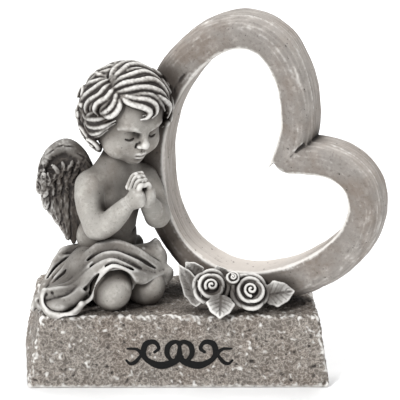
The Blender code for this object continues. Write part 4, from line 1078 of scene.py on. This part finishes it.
VALLEYS = (  # grooves between the crests
    (
        (-10.6, -12.2, 49, 0.5), (-17, -15.6, 54.2, 0.9), (-24, -18.4, 58.6, 1), (-31.8, -18.8, 60.2, 1),
        (-38.2, -15.6, 55.4, 0.9), (-43.2, -12.6, 48.6, 0.8), (-49.6, -11, 43, 0.5),
    ),
    (
        (-17.2, -18.2, 51.2, 0.4), (-23.2, -21.4, 56, 0.8), (-29.6, -23.2, 58.4, 0.9),
        (-36, -22.2, 55.6, 0.9), (-41.2, -18.4, 48.8, 0.9), (-46.8, -16.2, 43.2, 0.8),
        (-54.6, -16.2, 40.2, 0.6),
    ),
    (
        (-12.4, -14.8, 46, 0.4), (-18.4, -19.2, 49.2, 0.8), (-24, -25, 54.4, 0.7), (-29.8, -27, 56.8, 0.6),
        (-36, -25.6, 50.6, 0.9), (-39.6, -23.6, 45, 1), (-44.6, -21.4, 41.4, 0.9),
    ),
    (
        (-44.6, -1.4, 52.4, 0.8), (-48.8, 0.8, 48.6, 1.1), (-53.6, 0.6, 44.8, 0.9),
        (-57.4, -2.4, 40.8, 0.6),
    ),
    (
        (-43.4, -7.6, 52.6, 0.7), (-48.6, -6.8, 46.2, 0.9), (-55, -7.8, 41, 0.6),
    ),
)


DRAPE_BODY = (  # (centre, radii, blend) of the mass under the folds
    ((-32.0, -4.0, 45.5), (18.2, 17.4, 13.6), 0.0),
    ((-30.0, -13.0, 47.0), (10.5, 13.0, 11.5), 3.0),
    ((-20.4, -0.4, 45.8), (12.4, 10.6, 9.8), 3.0),
    ((-43.0, 8.0, 41.0), (10.0, 11.5, 10.0), 3.0),
    ((-33.0, 13.0, 42.0), (17.0, 12.6, 12.2), 3.0),
)
DRAPE_TRAIN = ((-42, -6, 40, 6.6), (-51, -9, 34.8, 4.8), (-59.5, -11.5, 31.8, 2.6))
DRAPE_KNOT = (((-4.6, -8.4, 46.2), (2.6, 2.4, 2.3), 1.2), ((-11.0, -4.0, 50.8), (7.0, 5.0, 6.8), 1.5))
KNEE_OPENINGS = (((-29.8, -21.8, 42.4), (9.0, 13.6, 11.5)), ((-13.8, -13.0, 37.2), (8.8, 11.6, 8.8)))
BEHIND_Y = 5.0  # folds that end behind this run round the back and sink further into the body
TRAIN_X = -55.0  # the cloth left of this hangs lower than the node's floor


def make_drape():
    """The cloth: a body, a soft swelling under each fold, fine crests on top, then grooves and openings."""
    clay = Clay(low("drape") - (4, 4, 3), high("drape") + (3, 5, 3), 0.42)
    spin = turned(BODY_TURN)
    for centre, radii, blend in DRAPE_BODY:
        clay.egg(centre, radii, spin, blend)
    clay.rope(DRAPE_TRAIN, 3)
    clay.egg((-50.0, -4.0, 36.0), (8.6, 11.0, 4.6), spin, 2)
    clay.egg((-56.6, -9.0, 34.0), (4.6, 8.4, 3.6), None, 2)
    for fold in LAP_FOLDS + SIDE_FOLDS:
        clay.rope([(x, y + 0.6, z - 2.9, 2.5) for x, y, z, _ in fold], 2.0, count=3)
    for fold in (*LAP_FOLDS, HEM_FOLD, *SIDE_FOLDS):
        finer = 0.66 if fold is HEM_FOLD else 0.82
        blend = 3.4 if fold[-1][1] > BEHIND_Y else 1.4
        clay.rope([(x, y, z, r * finer) for x, y, z, r in fold], blend, count=5)
    for valley in VALLEYS:
        clay.rope([(x, y, z, r * 1.15) for x, y, z, r in valley], 0.7, True, 5)
    for lip in HEM_LIPS:
        clay.rope([(x, y + 0.9, z - 0.9, r) for x, y, z, r in lip], 1.4, count=4)
        clay.rope([(x, y, z, r * 0.72) for x, y, z, r in lip], 0.8, count=5)
    for hollow in HEM_HOLLOWS:
        clay.rope(hollow, 0.7, True, 5)
    for centre, radii, blend in DRAPE_KNOT:
        clay.egg(centre, radii, spin, blend)
    clay.egg((-53.6, -22.4, 35.4), (5.6, 4.6, 2.8), None, 1.5)
    for centre, radii in KNEE_OPENINGS:
        clay.egg(centre, radii, spin, 1.2, True)
    x, y, z = clay.axes()
    floor = low("drape")[2]
    fade = np.clip((x - TRAIN_X) / 4, 0, 1)
    ground = floor * fade + (floor - 2.4) * (1 - fade)
    clay.field = np.maximum(clay.field, ground - z).astype(np.float32)
    piece = Piece("drape_cloth", clay, ["drape"], "resin_body")
    roughen_skin(piece, 71)
    return piece


# Wings: a smooth rolled leading edge and layers of feathers, built for the right wing

WING_EDGE = (
    (-37.0, 6.0, 82.5, 2.2), (-39.8, 7.2, 88.4, 2.7), (-43.6, 8.6, 94.6, 3.4), (-49.5, 9.4, 98.8, 3.6),
    (-55.8, 9.2, 96.2, 2.9), (-59.6, 8.6, 91.0, 2.1), (-61.2, 8.4, 86.0, 1.3),
)
WING_ROWS = (  # (how many, roots from and to, tips from and to, width, thickness, layer)
    (7, (-59.0, 82.0), (-41.0, 79.0), (-58.6, 71.0), (-41.6, 66.5), 2.0, 0.8, 0.0),
    (7, (-59.6, 87.0), (-40.0, 84.0), (-60.4, 78.0), (-40.2, 73.5), 1.95, 0.8, 0.9),
)
LONG_FEATHERS = (
    ((-60.0, 88.0), (-61.4, 78.5)), ((-59.0, 83.0), (-58.6, 73.5)), ((-57.0, 78.0), (-56.0, 68.5)),
    ((-55.6, 76.0), (-53.2, 64.2)), ((-53.4, 76.0), (-50.4, 60.4)),
    ((-51.6, 76.0), (-48.6, 57.2)), ((-48.6, 76.0), (-46.0, 55.6)), ((-45.6, 76.0), (-44.4, 58.5)),
    ((-43.0, 76.0), (-43.2, 62.5)),
)
ROW_DROOP = 2.2  # how far the middle of a row hangs below its ends
COVERT_TURN = 38.0  # degrees, either way
COVERT_REACH = 2.5
BARBED_BELOW = 75.0  # the height that parts the ruffled coverts from the long, barbed feathers


def wing_skin(u, v):
    """How far back the wing's middle surface is at this place."""
    return 8.4 - 0.010 * (u + 48) ** 2 - 0.0035 * (v - 84) ** 2


def lay_feather(clay, root, tip, width, thick, forward, tilt=0.34):
    """A feather on the wing's front and back faces: tilted so that one edge covers its neighbour."""
    for face_side in (-1, 1):
        stations = []
        for share, spread in ((0, 0.62), (0.3, 0.95), (0.62, 1.0), (0.86, 0.8), (1.0, 0.45)):
            u = root[0] + (tip[0] - root[0]) * share
            v = root[1] + (tip[1] - root[1]) * share
            y = wing_skin(u, v) + face_side * (forward * (1.2 - 0.45 * share) + 0.35)
            stations.append((u, y, v, width * spread))
        normal = np.array([tilt * -face_side, math.sqrt(1 - tilt * tilt), 0.0])
        clay.rope(stations, 0.05, count=4, flat=width / thick, facing=normal)
        quill = [(u, y + face_side * thick * 0.95, v, 0.27) for u, y, v, _ in stations[:-1]]
        clay.rope(quill, 0.2, count=3)


def lay_coverts(clay):
    """Four rows of short, ruffled feathers over the upper wing, on both faces."""
    chance = np.random.default_rng(19)
    for row in range(4):
        for n in range(7 - row // 2):
            u = -58.6 + 2.9 * n + (1.2 + 0.6 * row) * (row % 2) + 0.5 * row + chance.uniform(-0.4, 0.4)
            v = 82.5 + 2.7 * row - 0.12 * abs(u + 49) ** 1.5 + chance.uniform(-0.4, 0.4)
            turn = math.radians(chance.uniform(-COVERT_TURN, COVERT_TURN))
            for face_side in (-1, 1):
                bend = []
                for share, size in ((-1.0, 0.7), (-0.3, 1.15), (0.4, 1.15), (1.0, 0.5)):
                    du = share * COVERT_REACH * math.sin(turn) + 0.5 * (1 - share * share)
                    dv = -share * COVERT_REACH * math.cos(turn)
                    y = wing_skin(u + du, v + dv) + face_side * (2.4 + 0.35 * share + 0.1 * row)
                    bend.append((u + du, y, v + dv, size))
                clay.rope(bend, 0.05, count=3, flat=1.35, facing=(0, 1, 0))


def groove_edge(clay):
    """Short grooves along the rolled leading edge, where it passes over the feathers' roots."""
    path = smooth_path(WING_EDGE, 6)
    for n in range(5):
        spot = path[int((0.2 + 0.13 * n) * (len(path) - 1))]
        away = spot[:3] - np.array((-48.5, 8.4, 84.0))
        away[1] = 0
        away /= np.linalg.norm(away)
        tangent = np.array([-away[2], 0, away[0]])
        for face_side in (-1, 1):
            out = np.array([0, face_side * 0.8, 0]) + away * 0.45
            start = spot[:3] + out * spot[3] * 1.02 - tangent * 3.0
            end = spot[:3] + out * spot[3] * 1.02 + tangent * 3.4
            clay.rope([(*start, 0.12), (*((start + end) / 2 + out * 0.25), 0.3), (*end, 0.12)], 0.4, True)


def make_wing():
    """The right wing: a thin body, long feathers, two rows of shorter ones, the coverts and the edge."""
    clay = Clay((-65.5, 0, 52), (-31, 17.5, 105), 0.29)
    clay.egg((-48.5, 8.2, 84.5), (10.4, 2.4, 12.6), turned(-4))
    clay.egg((-47.5, 8.0, 71.0), (7.2, 1.4, 12.0), turned(-4), 2)
    for n, (root, tip) in enumerate(LONG_FEATHERS):
        lay_feather(clay, root, tip, 2.5 - 0.15 * (n % 2), 0.85, 0.35 + 0.3 * (n % 2))
    for count, *ends, width, thick, layer in WING_ROWS:
        root_a, root_b, tip_a, tip_b = (np.array(spot) for spot in ends)
        for n in range(count):
            share = n / (count - 1)
            root = root_a + (root_b - root_a) * share
            tip = tip_a + (tip_b - tip_a) * share - (0, ROW_DROOP * math.sin(share * math.pi))
            lay_feather(clay, root, tip, width, thick, 0.9 + 0.62 * layer + 0.12 * (n % 2))
    lay_coverts(clay)
    clay.rope(WING_EDGE, 1.4, count=6)
    groove_edge(clay)
    return clay


def wing_pieces():
    """Both wings from one clay: the left is the right mirrored in the body's own middle plane."""
    clay = make_wing()
    right = Piece("right_wing_feathers", clay, ["right_wing"], "resin_body")
    left = Piece("left_wing_feathers", clay, ["left_wing"], "resin_body")
    spine = np.array([-28.5, 2.0, 0.0])
    left.points = left.points - 2 * ((left.points - spine) @ LEFT)[:, None] * LEFT
    left.quads = left.quads[:, ::-1]
    for piece in (right, left):
        bent = stirred(piece.points, 3.0, 84, 1.1)
        below = np.clip((96.5 - piece.points[:, 2]) / 5, 0.15, 1)
        worms = (0.32 - 1.9 * np.abs(ripple(bent, 2.1, 83))) * 0.34
        barbs = ripple(bent * (1.0, 1.0, 0.22), 1.0, 87) * 0.26
        high_up = np.clip((piece.points[:, 2] - BARBED_BELOW) / 5, 0, 1)
        worms = (worms * high_up + barbs * (1 - high_up)) * below
        grain = worms + ripple(piece.points, 1.1, 81) * 0.05
        piece.raise_by(grain)
        piece.fine = piece.fine - grain * 0.5
    return [right, left]


# Flowers at the heart's foot

SMALL_STEP = 0.25
ROSE_RADIUS = 7.8  # the size that the petals' numbers are given for
ROSE_BOX = ((-10.5, -10.5, -8), (10.5, 10.5, 8))


def petal(clay, reach, rise, start, span, depth, thick, flare):
    """A petal as part of a cup: a rolled lip above a wall that narrows to the base."""
    angles = np.radians(start + span * np.linspace(-0.5, 0.5, 7))
    bow = 1 - np.linspace(-1, 1, 7) ** 2
    for share, size in ((0.0, 0.95), (0.35, 0.8), (0.7, 0.85), (1.0, 1.15)):
        out = reach * (0.55 + 0.45 * share) + flare * share**3 * (0.4 + 0.6 * bow)
        up = rise - depth * (1 - share) - (1 - bow) * depth * 0.22 * share - flare * 0.35 * share**4
        spots = [(r * math.cos(a), r * math.sin(a), z, thick * size * (0.7 + 0.3 * b))
                 for r, a, z, b in zip(out, angles, up, bow)]
        clay.rope(spots, thick * 0.8, count=3)


def make_rose(node, centre, radius, nod, turn):
    """A rose in a cup of five outer and three inner petals round a spiral, nodding forward from face-up."""
    size = radius / ROSE_RADIUS
    clay = Clay(*ROSE_BOX, SMALL_STEP)
    clay.egg((0, 0, -1.6), (6.2 * size, 6.2 * size, 3.6 * size))
    for n in range(5):
        ring = Clay(*ROSE_BOX, SMALL_STEP)
        petal(ring, 6.3 * size, (0.9 + 0.5 * (n % 2)) * size, 72 * n + turn, 96, 3.4 * size, 0.95, 1.5)
        clay.field = join(clay.field, ring.field, 0.2)
    for n in range(3):
        ring = Clay(*ROSE_BOX, SMALL_STEP)
        petal(ring, 4.4 * size, (2.7 + 0.4 * n) * size, 120 * n + turn + 25, 165, 3.4 * size, 0.85, 1.0)
        clay.field = join(clay.field, ring.field, 0.15)
    clay.egg((0, 0, 0.7), (3.0 * size, 3.0 * size, 1.5 * size))
    spiral = []
    for share in np.linspace(0, 1, 26):
        angle = math.radians(turn + 40) + share * 1.45 * math.tau
        reach = (0.4 + 2.6 * share) * size
        rise, thick = (4.2 - 0.6 * share) * size, 0.62 + 0.12 * share
        spiral.append((reach * math.cos(angle), reach * math.sin(angle), rise, thick))
    for drop in (0.0, 1.0, 2.0):
        clay.rope([(x, y, z - drop, r) for x, y, z, r in spiral], 0.1, count=2)
    piece = Piece(node + "_petals", clay, [node], "resin_trim", (turned(turn * 0.1, nod), np.array(centre)))
    return finish_small(piece)


def finish_small(piece):
    """The grain of a small trim piece."""
    grain = ripple(piece.points, 1.0, 91) * 0.045 + ripple(piece.points, 3.0, 92) * 0.05
    piece.raise_by(grain)
    piece.fine = piece.fine - grain * 0.6
    return piece


def make_bud():
    """A closed bud between the roses."""
    clay = Clay((-5, -5, -5), (5, 5, 5.5), SMALL_STEP)
    clay.egg((0, 0, -0.6), (3.0, 3.0, 3.4))
    for n in range(3):
        petal(clay, 2.1, 2.6, 120 * n + 60, 150, 3.0, 0.55, 0.5)
    spiral = []
    for share in np.linspace(0, 1, 14):
        angle = share * 1.3 * math.tau
        reach = 0.25 + 1.25 * share
        spiral.append((reach * math.cos(angle), reach * math.sin(angle), 3.2 - 0.3 * share, 0.45))
    clay.rope(spiral, 0.1, count=2)
    spin = turned(0, 42)
    piece = Piece("rose_bud_petals", clay, ["rose_bud"], "resin_trim", (spin, np.array([23.5, -18.6, 45.9])))
    return finish_small(piece)


# a leaf's width along its length: the places from root to tip, and the share of the full width there
LEAF_SHAPE = ((0, 0.16, 0.36, 0.58, 0.8, 1.0), (0.3, 0.76, 1.0, 0.92, 0.58, 0.05))
LEAVES = (  # (node, root, tip, across, half width, droop)
    ("leaf_front", (18.0, -24.5, 41.0), (17.2, -31.4, 32.6), (1, 0, 0), 6.2, 1.0),
    ("leaf_left", (8.5, -24.0, 36.0), (0.2, -11.0, 50.4), (0.7, -0.4, 0.5), 4.8, 1.2),
    ("leaf_left_back", (10.5, -15.0, 44.0), (3.0, -12.5, 52.2), (0.8, 0, 0.6), 4.2, 1.0),
    ("leaf_right", (37.0, -20.8, 39.2), (51.0, -20.5, 41.5), (-0.1, 0.45, 0.9), 5.8, 1.0),
    ("leaf_middle", (20.5, -17.5, 41.5), (16.5, -14.9, 51.4), (1, 0, 0), 4.8, 0.8),
)


def make_leaf(node, root, tip, across, width, droop):
    """A crowned leaf blade with a groove for the midrib and four pairs of veins on both faces."""
    root, tip, side = (np.array(p, float) for p in (root, tip, across))
    length = np.linalg.norm(tip - root)
    axis = (tip - root) / length
    side = side - axis * (side @ axis)
    side /= np.linalg.norm(side)
    normal = np.cross(axis, side)
    spin = np.column_stack([side, normal, axis])
    clay = Clay((-width - 1.5, -3.5, -1.5), (width + 1.5, 5.5, length + 1.5), 0.24)
    x, y, z = clay.axes()

    def half(z):
        share = np.clip(z / length, 0, 1)
        ripples = 1 + 0.05 * np.sin(share * 19)
        return width * np.interp(share, *LEAF_SHAPE) * ripples

    def crown(x, z):
        share = np.clip(z / length, 0, 1)
        k = np.clip(np.abs(x) / half(z), 0, 1.1)
        swell = 0.72 * np.interp(share, *LEAF_SHAPE) * (1 - (2 * k - 1) ** 2)
        return droop * np.sin(share * math.pi) + swell - 0.2 * k

    beyond = np.maximum(-z, z - length)
    reach = np.maximum((np.abs(x) - half(z)) * 0.86, beyond)
    thick = np.abs(y - crown(x, z)) - 0.62
    clay.field = join_round(reach, thick, 0.45).astype(np.float32)
    rib = [(0.0, float(crown(0.0, s * length)) + 0.72, s * length, 0.34) for s in np.linspace(0, 0.92, 9)]
    for face_side in (1, -1):
        offset = 0.0 if face_side > 0 else -1.44
        clay.rope([(a, b + offset, c, r) for a, b, c, r in rib], 0.3, True, 3)
        for n in range(1, 5):
            for flank in (-1, 1):
                vein = []
                for k in (0.08, 0.45, 0.85):
                    up = (n * 0.17 + 0.24 * k) * length
                    out = flank * k * float(half(up)) * 0.95
                    lift = float(crown(out, up)) + face_side * 0.66
                    vein.append((out, lift, up, 0.24 - 0.08 * k))
                clay.rope(vein, 0.25, True, 3)
    piece = Piece(node + "_blade", clay, [node], "resin_trim", (spin, root))
    return finish_small(piece)


ROSES = (  # (node, centre, radius, nod, turn)
    ("rose_left", (14.0, -19.5, 42.6), 7.6, 52, 8),
    ("rose_right", (31.0, -21.0, 41.2), 8.0, 52, 60),
)


def make_flowers():
    return [*(make_rose(*rose) for rose in ROSES), make_bud(), *(make_leaf(*leaf) for leaf in LEAVES)]


# Materials


class Look:
    """A node material under construction, with one short call for each kind of node."""

    def __init__(self, name, roughness, metallic=0.0, specular=0.25):
        self.material = bpy.data.materials.new(name)
        self.material.use_nodes = True
        self.tree = self.material.node_tree
        self.shader = self.tree.nodes["Principled BSDF"]
        self.shader.inputs["Roughness"].default_value = roughness
        self.shader.inputs["Metallic"].default_value = metallic
        self.shader.inputs["Specular IOR Level"].default_value = specular
        self.place = self.tree.nodes.new("ShaderNodeTexCoord").outputs["Object"]

    def link(self, value, socket):
        if isinstance(value, bpy.types.NodeSocket):
            self.tree.links.new(value, socket)
        else:
            socket.default_value = value

    def attribute(self, name):
        node = self.tree.nodes.new("ShaderNodeAttribute")
        node.attribute_name = name
        return node.outputs["Fac"]

    def noise(self, size_mm, detail=2.0, roughness=0.5, stretch=None):
        node = self.tree.nodes.new("ShaderNodeTexNoise")
        node.inputs["Scale"].default_value = 1 / (size_mm * MM)
        node.inputs["Detail"].default_value = detail
        node.inputs["Roughness"].default_value = roughness
        place = self.place
        if stretch:
            mapping = self.tree.nodes.new("ShaderNodeMapping")
            mapping.inputs["Scale"].default_value = stretch
            self.tree.links.new(self.place, mapping.inputs["Vector"])
            place = mapping.outputs["Vector"]
        self.tree.links.new(place, node.inputs["Vector"])
        return node.outputs["Fac"]

    def cells(self, size_mm):
        node = self.tree.nodes.new("ShaderNodeTexVoronoi")
        node.inputs["Scale"].default_value = 1 / (size_mm * MM)
        self.tree.links.new(self.place, node.inputs["Vector"])
        return node.outputs["Distance"]

    def span(self, value, start, stop, to_start=0.0, to_stop=1.0):
        node = self.tree.nodes.new("ShaderNodeMapRange")
        node.interpolation_type = "SMOOTHSTEP"
        for socket, number in zip(list(node.inputs)[:5], (value, start, stop, to_start, to_stop)):
            self.link(number, socket)
        return node.outputs["Result"]

    def maths(self, kind, a, b):
        node = self.tree.nodes.new("ShaderNodeMath")
        node.operation = kind
        self.link(a, node.inputs[0])
        self.link(b, node.inputs[1])
        return node.outputs[0]

    def mix(self, share, a, b):
        node = self.tree.nodes.new("ShaderNodeMix")
        node.data_type = "RGBA"
        self.link(share, node.inputs["Factor"])
        for value, socket in ((a, node.inputs[6]), (b, node.inputs[7])):
            self.link(value if isinstance(value, bpy.types.NodeSocket) else (*value, 1.0), socket)
        return node.outputs[2]

    def bump(self, height, depth_mm, under=None):
        node = self.tree.nodes.new("ShaderNodeBump")
        node.inputs["Distance"].default_value = depth_mm * MM
        self.link(height, node.inputs["Height"])
        if under is not None:
            self.link(under, node.inputs["Normal"])
        return node.outputs["Normal"]

    def wear(self, colour, roughness, normal):
        self.link(colour, self.shader.inputs["Base Color"])
        self.link(roughness, self.shader.inputs["Roughness"])
        self.link(normal, self.shader.inputs["Normal"])
        return self.material


GREY = (0.215, 0.205, 0.19)
BROWN = (0.165, 0.132, 0.108)
WASH = (0.026, 0.022, 0.020)
DUST = (0.78, 0.765, 0.735)


def stone_resin(
    name, grey, brown=BROWN, wash_and_shade=1.0, crest=1.0, patches=0.4, mottle=0.4,
    bump_mm=0.12, chisel_and_shading=0.0, reach=0.0, painted_shade_amount=1.0,
):
    """Antiqued cast resin: grey ground with patches, dark patina in hollows, pale rubbed crests, small pits,
    and painted shade where the object is closed in.

    One strength sets the dark patina in the hollows together with the painted shade near other surfaces;
    crest, patches and mottle set their own layers; one sets the worm pattern's bump with its painted
    highlight and shade; reach spreads the patina out of the deepest hollows; and one says how dark the
    painted shade in the closed-in places is.
    """
    look = Look(name, 0.72)
    fine, broad, shade, wide_shade, tint_and_light = map(look.attribute, ("fine", "broad", "shade", "wide_shade", "tint_and_light"))
    jitter = look.noise(1.3, 3.0, 0.6)
    cloud = look.noise(17.0, 4.0, 0.62)
    haze = look.noise(6.0, 4.0, 0.65)
    grain = look.noise(0.42, 2.0, 0.7)
    worm = look.maths("ABSOLUTE", look.maths("SUBTRACT", look.noise(1.7, 2.0, 0.5), 0.5), 0.0)

    def strayed(value, noise, amount):
        """The value moved up and down by a noise, so that its edges wander."""
        return look.maths("ADD", value, look.maths("MULTIPLY", look.maths("SUBTRACT", noise, 0.5), amount))

    # The share of a darkening layer, scaled by one strength for the dark patina in hollows and the painted
    # shade near other surfaces alike.
    def wash_and_shade_share(value, start, stop, amount, share=1.0):
        return look.span(value, start, stop, 0.0, min(amount * wash_and_shade, 1.0) * share)

    def scaled(colour, factor):
        return tuple(v * factor for v in colour)

    rubbed = strayed(look.maths("MULTIPLY", fine, -1.0), haze, 0.09)
    hollow = strayed(fine, jitter, 0.10)
    nearby = strayed(shade, haze, 0.12)
    specks = look.span(look.cells(2.1), 0.10, 0.16, 0.75, 0.0)
    sparse = look.span(look.noise(5.0, 1.0), 0.56, 0.62, 0.0, 1.0)
    layers = (  # from the ground up: (share, colour)
        (look.span(haze, 0.46, 0.72, 0.0, 0.75), scaled(grey, 1.4)),
        (look.span(jitter, 0.50, 0.78, 0.0, mottle), scaled(brown, 0.42)),
        (look.span(grain, 0.55, 0.80, 0.0, mottle * 0.8), scaled(brown, 0.42)),
        # Lighter and darker by the points' own values: on the heart these hold the brush strokes, a front
        # face lighter towards its outside, painted light on the inner wall, a painted highlight on the front
        # inner edge and a painted shadow of the figure.
        (look.span(tint_and_light, 0.0, 0.9, 0.0, 0.8), scaled(grey, 2.6)),
        (look.span(tint_and_light, 0.0, -0.8, 0.0, 0.6), scaled(brown, 0.7)),
        # Worm pattern: a painted highlight on its crest lines and painted shade on their flanks, beside the
        # same pattern's bump below.
        (look.span(worm, 0.05, 0.0, 0.0, chisel_and_shading), scaled(grey, 2.6)),
        (look.span(worm, 0.06, 0.15, 0.0, chisel_and_shading), scaled(brown, 0.5)),
        (look.span(rubbed, 0.025, 0.15, 0.0, 0.85 * crest), DUST),
        # Painted shade where the object is broadly closed in, such as the chest between the arms and the
        # plinth top by the knees.
        (look.span(wide_shade, 0.15, 0.42, 0.0, 0.8 * painted_shade_amount), scaled(brown, 0.3)),
        # Painted shade near other surfaces: in nooks, under the hair and chin, and where pieces meet.
        (wash_and_shade_share(nearby, 0.36, 0.72, 0.88, painted_shade_amount), scaled(brown, 0.24)),
        (wash_and_shade_share(broad, 0.05, 0.22, 0.75), scaled(brown, 0.20)),
        (wash_and_shade_share(hollow, 0.03 - reach, 0.13 - reach, 0.93), WASH),
        (look.maths("MULTIPLY", specks, sparse), WASH),
    )
    colour = look.mix(look.span(cloud, 0.42, 0.66, 0.0, patches), grey, brown)
    for share, paint in layers:
        colour = look.mix(share, colour, paint)
    rough = look.span(haze, 0.3, 0.7, 0.62, 0.86)
    height = look.maths("SUBTRACT", look.noise(0.7, 4.0, 0.7), look.maths("MULTIPLY", worm, 6.0 * chisel_and_shading))
    return look.wear(colour, rough, look.bump(height, bump_mm))


def black_enamel():
    look = Look("black_enamel", 0.5, 0.0, 0.15)
    dust = look.noise(1.1, 3.0, 0.6)
    colour = look.mix(look.span(dust, 0.52, 0.8, 0.0, 0.5), (0.004, 0.004, 0.004), (0.016, 0.015, 0.014))
    return look.wear(colour, look.span(dust, 0.3, 0.7, 0.48, 0.7), look.bump(look.noise(0.8, 3.0), 0.12))


def drawn_steel():
    look = Look("drawn_steel", 0.3, 1.0, 0.5)
    lines = look.noise(0.35, 2.0, 0.6, (1.0, 1.0, 0.04))
    colour = look.mix(lines, (0.46, 0.46, 0.47), (0.62, 0.62, 0.63))
    return look.wear(colour, look.span(lines, 0.3, 0.7, 0.24, 0.42), look.bump(lines, 0.02))


def paper_floor():
    look = Look("studio_floor", 0.9)
    fibre = look.noise(6.0, 3.0)
    colour = look.mix(fibre, (0.84, 0.84, 0.84), (0.88, 0.88, 0.88))
    return look.wear(colour, 0.9, look.bump(fibre, 0.02))


# Studio: camera, floor and light

VIEW_AZIMUTH, VIEW_HEIGHT, VIEW_ROLL = math.radians(-4.4), math.radians(18.0), math.radians(1.5)
VIEW_DISTANCE = 1.3
VIEW_TARGET = Vector((0.0096, 0.0, 0.077))
LENS = 263.6
SUNS = (  # (name, (azimuth from the front, height) in degrees, strength, spread in degrees)
    ("key", (-40, 36), 3.0, 14),
    ("top", (150, 68), 2.6, 30),
    ("fill", (40, 25), 0.35, 60),
)
SKY_COLOUR, SKY_STRENGTH = (0.97, 0.985, 1.0, 1.0), 0.42
FLOOR_REACH = 9.0


def make_studio():
    """Camera at the photograph's angle, a pale floor, three soft suns and a dim sky."""
    scene = bpy.context.scene
    scene.view_settings.view_transform = "Standard"
    data = bpy.data.cameras.new("camera")
    data.lens = LENS
    data.sensor_width = 36.0
    data.clip_end = 50.0
    camera = bpy.data.objects.new("camera", data)
    scene.collection.objects.link(camera)
    flat = math.cos(VIEW_HEIGHT)
    back = Vector((math.sin(VIEW_AZIMUTH) * flat, -math.cos(VIEW_AZIMUTH) * flat, math.sin(VIEW_HEIGHT)))
    level = Vector((math.cos(VIEW_AZIMUTH), math.sin(VIEW_AZIMUTH), 0.0))
    upright = back.cross(level)
    right = level * math.cos(VIEW_ROLL) + upright * math.sin(VIEW_ROLL)
    up = upright * math.cos(VIEW_ROLL) - level * math.sin(VIEW_ROLL)
    spin = Matrix((right, up, back)).transposed().to_4x4()
    camera.matrix_world = Matrix.Translation(VIEW_TARGET + back * VIEW_DISTANCE) @ spin
    scene.camera = camera
    mesh = bpy.data.meshes.new("floor")
    corners = [(x * FLOOR_REACH, y * FLOOR_REACH, 0) for x, y in ((-1, -1), (1, -1), (1, 1), (-1, 1))]
    mesh.from_pydata(corners, [], [(0, 1, 2, 3)])
    floor = bpy.data.objects.new("floor", mesh)
    floor.data.materials.append(paper_floor())
    scene.collection.objects.link(floor)
    for sun in SUNS:
        add_sun(*sun)
    world = bpy.data.worlds.new("studio")
    world.use_nodes = True
    sky = world.node_tree.nodes["Background"]
    sky.inputs["Color"].default_value = SKY_COLOUR
    sky.inputs["Strength"].default_value = SKY_STRENGTH
    scene.world = world


def add_sun(name, towards, strength, spread):
    """A soft distant light that shines from the given azimuth and height."""
    data = bpy.data.lights.new(name, "SUN")
    data.energy = strength
    data.angle = math.radians(spread)
    light = bpy.data.objects.new(name, data)
    turn, rise = (math.radians(v) for v in towards)
    way = Vector((math.sin(turn) * math.cos(rise), -math.cos(turn) * math.cos(rise), math.sin(rise)))
    light.rotation_euler = way.to_track_quat("Z", "Y").to_euler()
    bpy.context.scene.collection.objects.link(light)


# Assembly


def make_finishes():
    """The material for each piece name, and for the groups 'wing', 'trim' and 'flesh'."""
    return {
        "plinth_block": stone_resin(
            "resin_plinth", (0.20, 0.18, 0.16), patches=0.6, mottle=0.3,
            bump_mm=0.4, chisel_and_shading=0.5, reach=-0.02, painted_shade_amount=0.55,
        ),
        "heart_frame": stone_resin(
            "resin_heart", (0.215, 0.198, 0.182), wash_and_shade=0.95, crest=0.75, patches=0.7, mottle=0.5, bump_mm=0.14
        ),
        "hair_locks": stone_resin("resin_hair", GREY, wash_and_shade=1.15, crest=0.9, reach=0.07),
        "drape_cloth": stone_resin(
            "resin_cloth", (0.29, 0.277, 0.257), wash_and_shade=1.1, crest=0.8, bump_mm=0.1, reach=0.02, painted_shade_amount=0.6
        ),
        "scroll_paint": black_enamel(),
        "wing": stone_resin(
            "resin_feathers", (0.13, 0.122, 0.113), wash_and_shade=1.2, crest=0.5, mottle=0.5, reach=0.06
        ),
        "trim": stone_resin(
            "resin_flowers", (0.31, 0.30, 0.285), wash_and_shade=1.15, crest=0.9, patches=0.3, reach=0.04, painted_shade_amount=0.8
        ),
        "flesh": stone_resin(
            "resin_flesh", (0.31, 0.296, 0.272), crest=0.75, mottle=0.3, bump_mm=0.06, painted_shade_amount=0.85
        ),
    }


def finish_for(piece, finishes):
    """A piece's own finish, or that of its group."""
    group = "wing" if "wing" in piece.name else "trim" if piece.slot == "resin_trim" else "flesh"
    return finishes.get(piece.name, finishes[group])


def build():
    pieces = [make_plinth(), make_scroll(), make_ring(), *make_flesh(), *make_hands(), make_head()]
    pieces += [make_hair(), make_drape(), *wing_pieces(), *make_flowers()]
    closed_in = occlusion([piece for piece in pieces if piece.slot != "black_paint"])
    finishes = make_finishes()
    for piece in pieces:
        to_object(piece, closed_in).data.materials.append(finish_for(piece, finishes))
        print(piece.name, len(piece.quads), "quads")
    steel = drawn_steel()
    for node in ("heart_dowel_left", "heart_dowel_right"):
        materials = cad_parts[node].data.materials
        materials.clear()
        materials.append(steel)


build()
make_studio()
bpy.context.view_layer.update()
